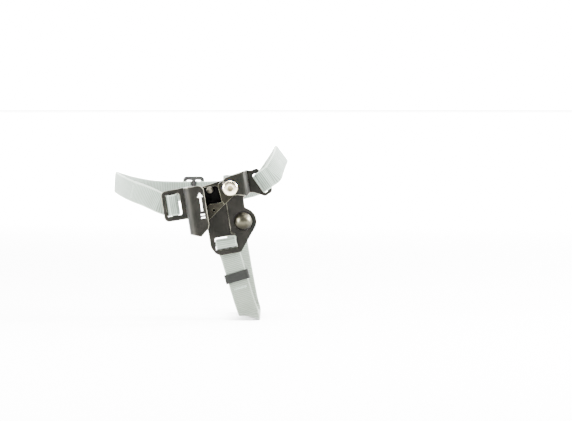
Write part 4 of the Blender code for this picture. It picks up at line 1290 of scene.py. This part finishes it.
@dataclass
class Webbing:
    """Ribbed webbing laid along a route."""

    harness: Harness
    finishes: Finishes
    rib: float = 1.45 * MM
    rib_rise: float = 0.12 * MM
    steps_per_rib: int = 6
    columns: int = 14
    rounding: float = 0.45 * MM
    rib_start: float = 0.5 * MM
    rib_full: float = 1.4 * MM
    # Thickness of the selvage: share of the full one, from and to a distance from the edge.
    SELVAGE = ((0.62, -1.0, 0.1 * MM), (0.9, 0.1 * MM, 1.3 * MM), (1.0, 1.3 * MM, 1.0))

    def even(self, stations: Sequence[Station]) -> tuple[np.ndarray, np.ndarray, np.ndarray, np.ndarray]:
        """Stations at an even spacing, with every corner slightly rounded.

        Args:
            stations: Place and across way of each station.

        Returns:
            Places, across ways, outward ways and the run along the webbing.
        """
        places = np.array([tuple(s[0]) for s in stations])
        across = np.array([tuple(s[1]) for s in stations])
        run = np.concatenate(([0], np.cumsum(np.linalg.norm(np.diff(places, axis=0), axis=1))))
        keep = np.concatenate(([True], np.diff(run) > 1e-6))
        places, across, run = places[keep], across[keep], run[keep]
        spacing = self.rib / self.steps_per_rib
        count = int(run[-1] / spacing)
        even_run = np.linspace(0, run[-1], count + 1)
        places = np.stack([np.interp(even_run, run, places[:, k]) for k in range(3)], axis=1)
        across = np.stack([np.interp(even_run, run, across[:, k]) for k in range(3)], axis=1)
        places = self.blurred(places, self.rounding / spacing)
        across = self.blurred(across, 2 * self.rounding / spacing)
        across /= np.linalg.norm(across, axis=1)[:, None]
        along = np.gradient(places, axis=0)
        along /= np.linalg.norm(along, axis=1)[:, None]
        out = np.cross(across, along)
        out /= np.linalg.norm(out, axis=1)[:, None]
        return places, across, out, even_run

    @staticmethod
    def blurred(values: np.ndarray, width: float) -> np.ndarray:
        """Rows of values blurred along their order, with the ends kept.

        Args:
            values: The rows.
            width: Standard deviation in rows.

        Returns:
            The blurred rows.
        """
        reach = int(4 * width) + 1
        weights = np.exp(-0.5 * (np.arange(-reach, reach + 1) / width) ** 2)
        weights /= weights.sum()
        head = 2 * values[0] - values[reach:0:-1]
        tail = 2 * values[-1] - values[-2:-reach - 2:-1]
        padded = np.concatenate((head, values, tail))
        return np.stack([np.convolve(padded[:, k], weights, "valid") for k in range(3)], axis=1)

    def lay(self, name: str, stations: Sequence[Station], node: str) -> None:
        """Lay a ribbed strip of webbing along its stations.

        Args:
            name: The piece's name.
            stations: Place and across way of each station.
            node: The node that it stands for.
        """
        places, across, out, run = self.even(stations)
        count = len(run)
        bpy.ops.object.select_all(action="DESELECT")
        bpy.ops.mesh.primitive_grid_add(x_subdivisions=self.columns, y_subdivisions=count - 1, size=1)
        strip = bpy.context.object
        mesh = strip.data
        flat = np.zeros(len(mesh.vertices) * 3)
        mesh.vertices.foreach_get("co", flat)
        flat = flat.reshape(-1, 3)
        row = np.rint((flat[:, 1] + 0.5) * (count - 1)).astype(int)
        share = flat[:, 0] + 0.5
        from_edge = np.minimum(share, 1 - share) * self.harness.width
        inside = np.clip((from_edge - self.rib_start) / (self.rib_full - self.rib_start), 0, 1)
        laid = places[row] + across[row] * ((share - 0.5) * self.harness.width)[:, None]
        mesh.vertices.foreach_set("co", laid.ravel())
        self.map_millimetres(mesh, share * self.harness.width / MM, run[row] / MM)
        rim = strip.vertex_groups.new(name="selvage")
        for level, low, high in self.SELVAGE:
            chosen = np.nonzero((from_edge > low) & (from_edge <= high))[0]
            rim.add([int(i) for i in chosen], level, "REPLACE")
        apply_modifier(strip, "SOLIDIFY", thickness=self.harness.thick - 2 * self.rib_rise, offset=0.0,
                       vertex_group="selvage", use_even_offset=False)
        strip.vertex_groups.clear()
        rise = self.rib_rise * np.abs(np.sin(pi * run[row] / self.rib)) * inside
        self.raise_ribs(mesh, laid, out[row], rise)
        settle(strip, name)
        smooth_shade(strip, 50)
        dress(strip, self.finishes.webbing)
        hand_over(strip, Body.FRAME, Slot.WEBBING, node)
        LOG.info("%s is %.0f mm long", name, run[-1] / MM)

    @staticmethod
    def raise_ribs(mesh: bpy.types.Mesh, middle: np.ndarray, out: np.ndarray, rise: np.ndarray) -> None:
        """Raise the ribs on both faces of a thickened strip.

        Args:
            mesh: The strip, whose two faces follow each other in the same order.
            middle: Place of each vertex before the strip had its thickness.
            out: Outward way at each of them.
            rise: Height of the rib at each of them.
        """
        flat = np.zeros(len(mesh.vertices) * 3)
        mesh.vertices.foreach_get("co", flat)
        faces = flat.reshape(2, -1, 3)
        for face in faces:
            side = np.sign(np.sum((face - middle) * out, axis=1))
            face += out * (side * rise)[:, None]
        mesh.vertices.foreach_set("co", faces.ravel())

    @staticmethod
    def map_millimetres(mesh: bpy.types.Mesh, across: np.ndarray, along: np.ndarray) -> None:
        """Give the mesh a UV map in millimetres.

        Args:
            mesh: The mesh.
            across: Distance across the webbing at each vertex.
            along: Distance along the webbing at each vertex.
        """
        layer = mesh.uv_layers[0]
        layer.name = "webbing_mm"
        corners = np.zeros(len(mesh.loops), int)
        mesh.loops.foreach_get("vertex_index", corners)
        layer.data.foreach_set("uv", np.stack((across[corners], along[corners]), axis=1).ravel())

    def build(self) -> None:
        """Build both straps."""
        self.lay("ankle_webbing", self.harness.ankle_stations(), "ankle_strap")
        self.lay("sole_webbing", self.harness.sole_stations(), "sole_strap")


@dataclass
class Stitching:
    """Bar tacks that hold the doubled ends: short zigzag stitches across the webbing."""

    harness: Harness
    finishes: Finishes
    length: float = 2.3 * MM
    girth: float = 0.42 * MM
    spacing: float = 0.62 * MM
    tack_width: float = 11.0 * MM
    lean: float = radians(12)
    flatness: float = 0.8
    instep_run: float = 27 * MM
    heel_run: float = 26 * MM
    sole_run: float = 26 * MM

    def prototype(self) -> bpy.types.Object:
        """Make one stitch: a flattened bead of thread along X.

        Returns:
            The stitch.
        """
        bpy.ops.object.select_all(action="DESELECT")
        bpy.ops.mesh.primitive_uv_sphere_add(segments=8, ring_count=6, radius=0.5)
        bead = bpy.context.object
        bead.scale = (self.length, self.girth, self.girth * self.flatness)
        return settle(bead, "stitch")

    def tack(self, bead: bpy.types.Object, place: Vector, across: Vector, out: Vector) -> list:
        """Copies of the stitch in one bar across the webbing.

        Args:
            bead: The stitch.
            place: Middle of the bar on the webbing's surface.
            across: The way across the webbing.
            out: The way out of the surface.

        Returns:
            The copies.
        """
        along = out.cross(across).normalized()
        count = int(self.tack_width / self.spacing)
        copies = []
        for i in range(count):
            offset = (i - (count - 1) / 2) * self.spacing
            turn = self.lean if i % 2 else -self.lean
            way = along * cos(turn) + across * sin(turn)
            side = out.cross(way).normalized()
            spot = place + across * offset
            copy = bpy.data.objects.new("stitch", bead.data.copy())
            copy.data.transform(Matrix(((way.x, side.x, out.x, spot.x), (way.y, side.y, out.y, spot.y),
                                        (way.z, side.z, out.z, spot.z), (0, 0, 0, 1))))
            bpy.context.scene.collection.objects.link(copy)
            copies.append(copy)
        return copies

    def sewn_end(self, name: str, stations: Sequence[tuple[Vector, Vector, Vector]],
                 runs: Sequence[float]) -> None:
        """Bar tacks at some runs from a bar, on both faces of the doubled webbing.

        Args:
            name: The piece's name.
            stations: Stations from the bar outwards.
            runs: Distance of each tack from the first station.
        """
        bead = self.prototype()
        copies = []
        run = 0.0
        wanted = list(runs)
        for i in range(1, len(stations)):
            run += (stations[i][0] - stations[i - 1][0]).length
            if wanted and run >= wanted[0]:
                wanted.pop(0)
                place, across, out = stations[i]
                depth = self.harness.half
                copies += self.tack(bead, place + out * depth, across, out)
                under = place - out * (self.harness.pitch + depth)
                copies += self.tack(bead, under, across, -out)
        select_only(*copies)
        bpy.ops.object.join()
        joined = settle(bpy.context.object, name)
        bpy.data.objects.remove(bead)
        smooth_shade(joined, 80)
        dress(joined, self.finishes.thread)
        hand_over(joined, Body.FRAME, Slot.WEBBING)

    def build(self) -> None:
        """Sew the three doubled ends."""
        ankle = self.harness.ankle()
        self.sewn_end("instep_stitches", ankle, (self.instep_run,))
        self.sewn_end("heel_stitches", list(reversed(ankle)), (self.heel_run,))
        self.sewn_end("sole_stitches", self.harness.sole(), (self.sole_run,))


@dataclass
class StrapFittings:
    """The rubber keeper and the plain slide."""

    finishes: Finishes
    keeper_edge: float = 0.45 * MM
    slide_edge: float = 0.5 * MM
    edge_steps: int = 3

    def build(self) -> None:
        """Build both fittings with softened edges."""
        keeper = hard_copy("keeper", "rubber_keeper", self.keeper_edge, self.edge_steps)
        dress(keeper, self.finishes.rubber, self.finishes.rubber)
        hand_over(keeper, Body.FRAME, Slot.RUBBER, "keeper")
        slide = hard_copy("strap_slide", "plain_slide", self.slide_edge, self.edge_steps)
        dress(slide, self.finishes.plastic, self.finishes.plastic)
        hand_over(slide, Body.FRAME, Slot.PLASTIC, "strap_slide")


@dataclass
class Studio:
    """Pale floor, soft light and the camera at the photograph's angle."""

    target: Vector = field(default_factory=lambda: Vector((0.0288, -0.0500, 0.0844)))
    distance: float = 3.0
    elevation: float = radians(2.5)
    view_width: float = 0.4576
    sensor: float = 36.0
    clip_end: float = 50.0
    floor_radius: float = 10.0
    floor_sides: int = 96
    floor_gap: float = 0.2 * MM
    front_sky: float = 0.25
    back_sky: float = 8.0
    backdrop: float = 18.0
    sky_rise: float = 0.8
    sky_span: tuple[float, float] = (-0.1, 0.75)
    backdrop_span: tuple[float, float] = (0.955, 0.985)
    sweep_place: tuple[float, float, float] = (0, 5.6, 2.5)
    sweep_size: tuple[float, float] = (10.0, 7.0)
    sweep_spread: float = radians(80)
    sweep_power: float = 8000

    # Softboxes: name, place, length of a side, power in watts.
    SOFTBOXES = (
        ("left_light", (-1.75, -0.85, 0.4), 0.9, 390),
        ("right_light", (1.9, -0.35, 0.9), 0.9, 520),
        ("back_light", (1.2, 0.8, 1.6), 1.0, 120),
        ("top_light", (0.1, -0.7, 1.9), 0.6, 120),
    )

    def build(self, lowest: float) -> None:
        """Build the studio.

        Args:
            lowest: Height of the part's lowest point.
        """
        self.camera()
        self.floor(lowest)
        self.sky()
        for name, place, size, power in self.SOFTBOXES:
            self.softbox(name, place, size, power)
        self.sweep_light()

    def sweep_light(self) -> None:
        """A wide light over the far floor, which turns it white and spreads too little to reach the part."""
        data = bpy.data.lights.new("sweep_light", "AREA")
        data.shape = "RECTANGLE"
        data.size, data.size_y = self.sweep_size
        data.spread = self.sweep_spread
        data.energy = self.sweep_power
        lamp = bpy.data.objects.new("sweep_light", data)
        lamp.location = self.sweep_place
        bpy.context.scene.collection.objects.link(lamp)

    def camera(self) -> None:
        """The camera, level with the part and looking slightly down."""
        data = bpy.data.cameras.new("camera")
        data.sensor_width = self.sensor
        data.lens = self.sensor * self.distance / self.view_width
        data.clip_end = self.clip_end
        camera = bpy.data.objects.new("camera", data)
        back = Vector((0, -cos(self.elevation), sin(self.elevation)))
        camera.location = self.target + back * self.distance
        camera.rotation_euler = (pi / 2 - self.elevation, 0, 0)
        bpy.context.scene.collection.objects.link(camera)
        bpy.context.scene.camera = camera

    def floor(self, lowest: float) -> None:
        """Lay a wide round floor just under the part.

        Args:
            lowest: Height of the part's lowest point.
        """
        bpy.ops.object.select_all(action="DESELECT")
        bpy.ops.mesh.primitive_circle_add(vertices=self.floor_sides, radius=self.floor_radius,
                                          fill_type="NGON", location=(0, 0, lowest - self.floor_gap))
        floor = settle(bpy.context.object, "studio_floor")
        dress(floor, StudioFloor().build())
        floor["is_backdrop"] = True

    def sky(self) -> None:
        """Bright surroundings behind and above, dim ones in front, and a white backdrop."""
        world = bpy.data.worlds.new("studio")
        world.use_nodes = True
        tree = world.node_tree
        way = add_node(tree, "ShaderNodeTexCoord").outputs["Generated"]
        parts = add_node(tree, "ShaderNodeSeparateXYZ", links={0: way})
        lean = add_node(tree, "ShaderNodeMath", {"operation": "MULTIPLY_ADD"}, {1: self.sky_rise},
                        {0: parts.outputs["Z"], 2: parts.outputs["Y"]})
        front, back, white = ((level, level, level, 1.0)
                              for level in (self.front_sky, self.back_sky, self.backdrop))
        colour = mixed(tree, ramp(tree, lean.outputs[0], *self.sky_span), front, back)
        colour = mixed(tree, ramp(tree, parts.outputs["Y"], *self.backdrop_span), colour, white)
        tree.links.new(colour, tree.nodes["Background"].inputs["Color"])
        bpy.context.scene.world = world

    def softbox(self, name: str, place: Sequence[float], size: float, power: float) -> None:
        """A large soft area light that faces the part.

        Args:
            name: The light's name.
            place: Where it stands.
            size: Length of its side.
            power: Power in watts.
        """
        data = bpy.data.lights.new(name, "AREA")
        data.size = size
        data.energy = power
        lamp = bpy.data.objects.new(name, data)
        lamp.location = place
        lamp.rotation_euler = (self.target - Vector(place)).to_track_quat("-Z", "Y").to_euler()
        bpy.context.scene.collection.objects.link(lamp)


def main() -> None:
    """Build the foot ascender and its studio."""
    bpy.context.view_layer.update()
    clamp = Clamp()
    finishes = Finishes()
    harness = Harness(clamp)
    for assembly in (ClampFrame(clamp, finishes), Cam(finishes), Turnings(clamp, finishes),
                     Webbing(harness, finishes), Stitching(harness, finishes), StrapFittings(finishes)):
        LOG.info("building %s", type(assembly).__name__)
        assembly.build()
    Studio().build(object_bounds()[0].z)


if __name__ == "__main__":
    main()
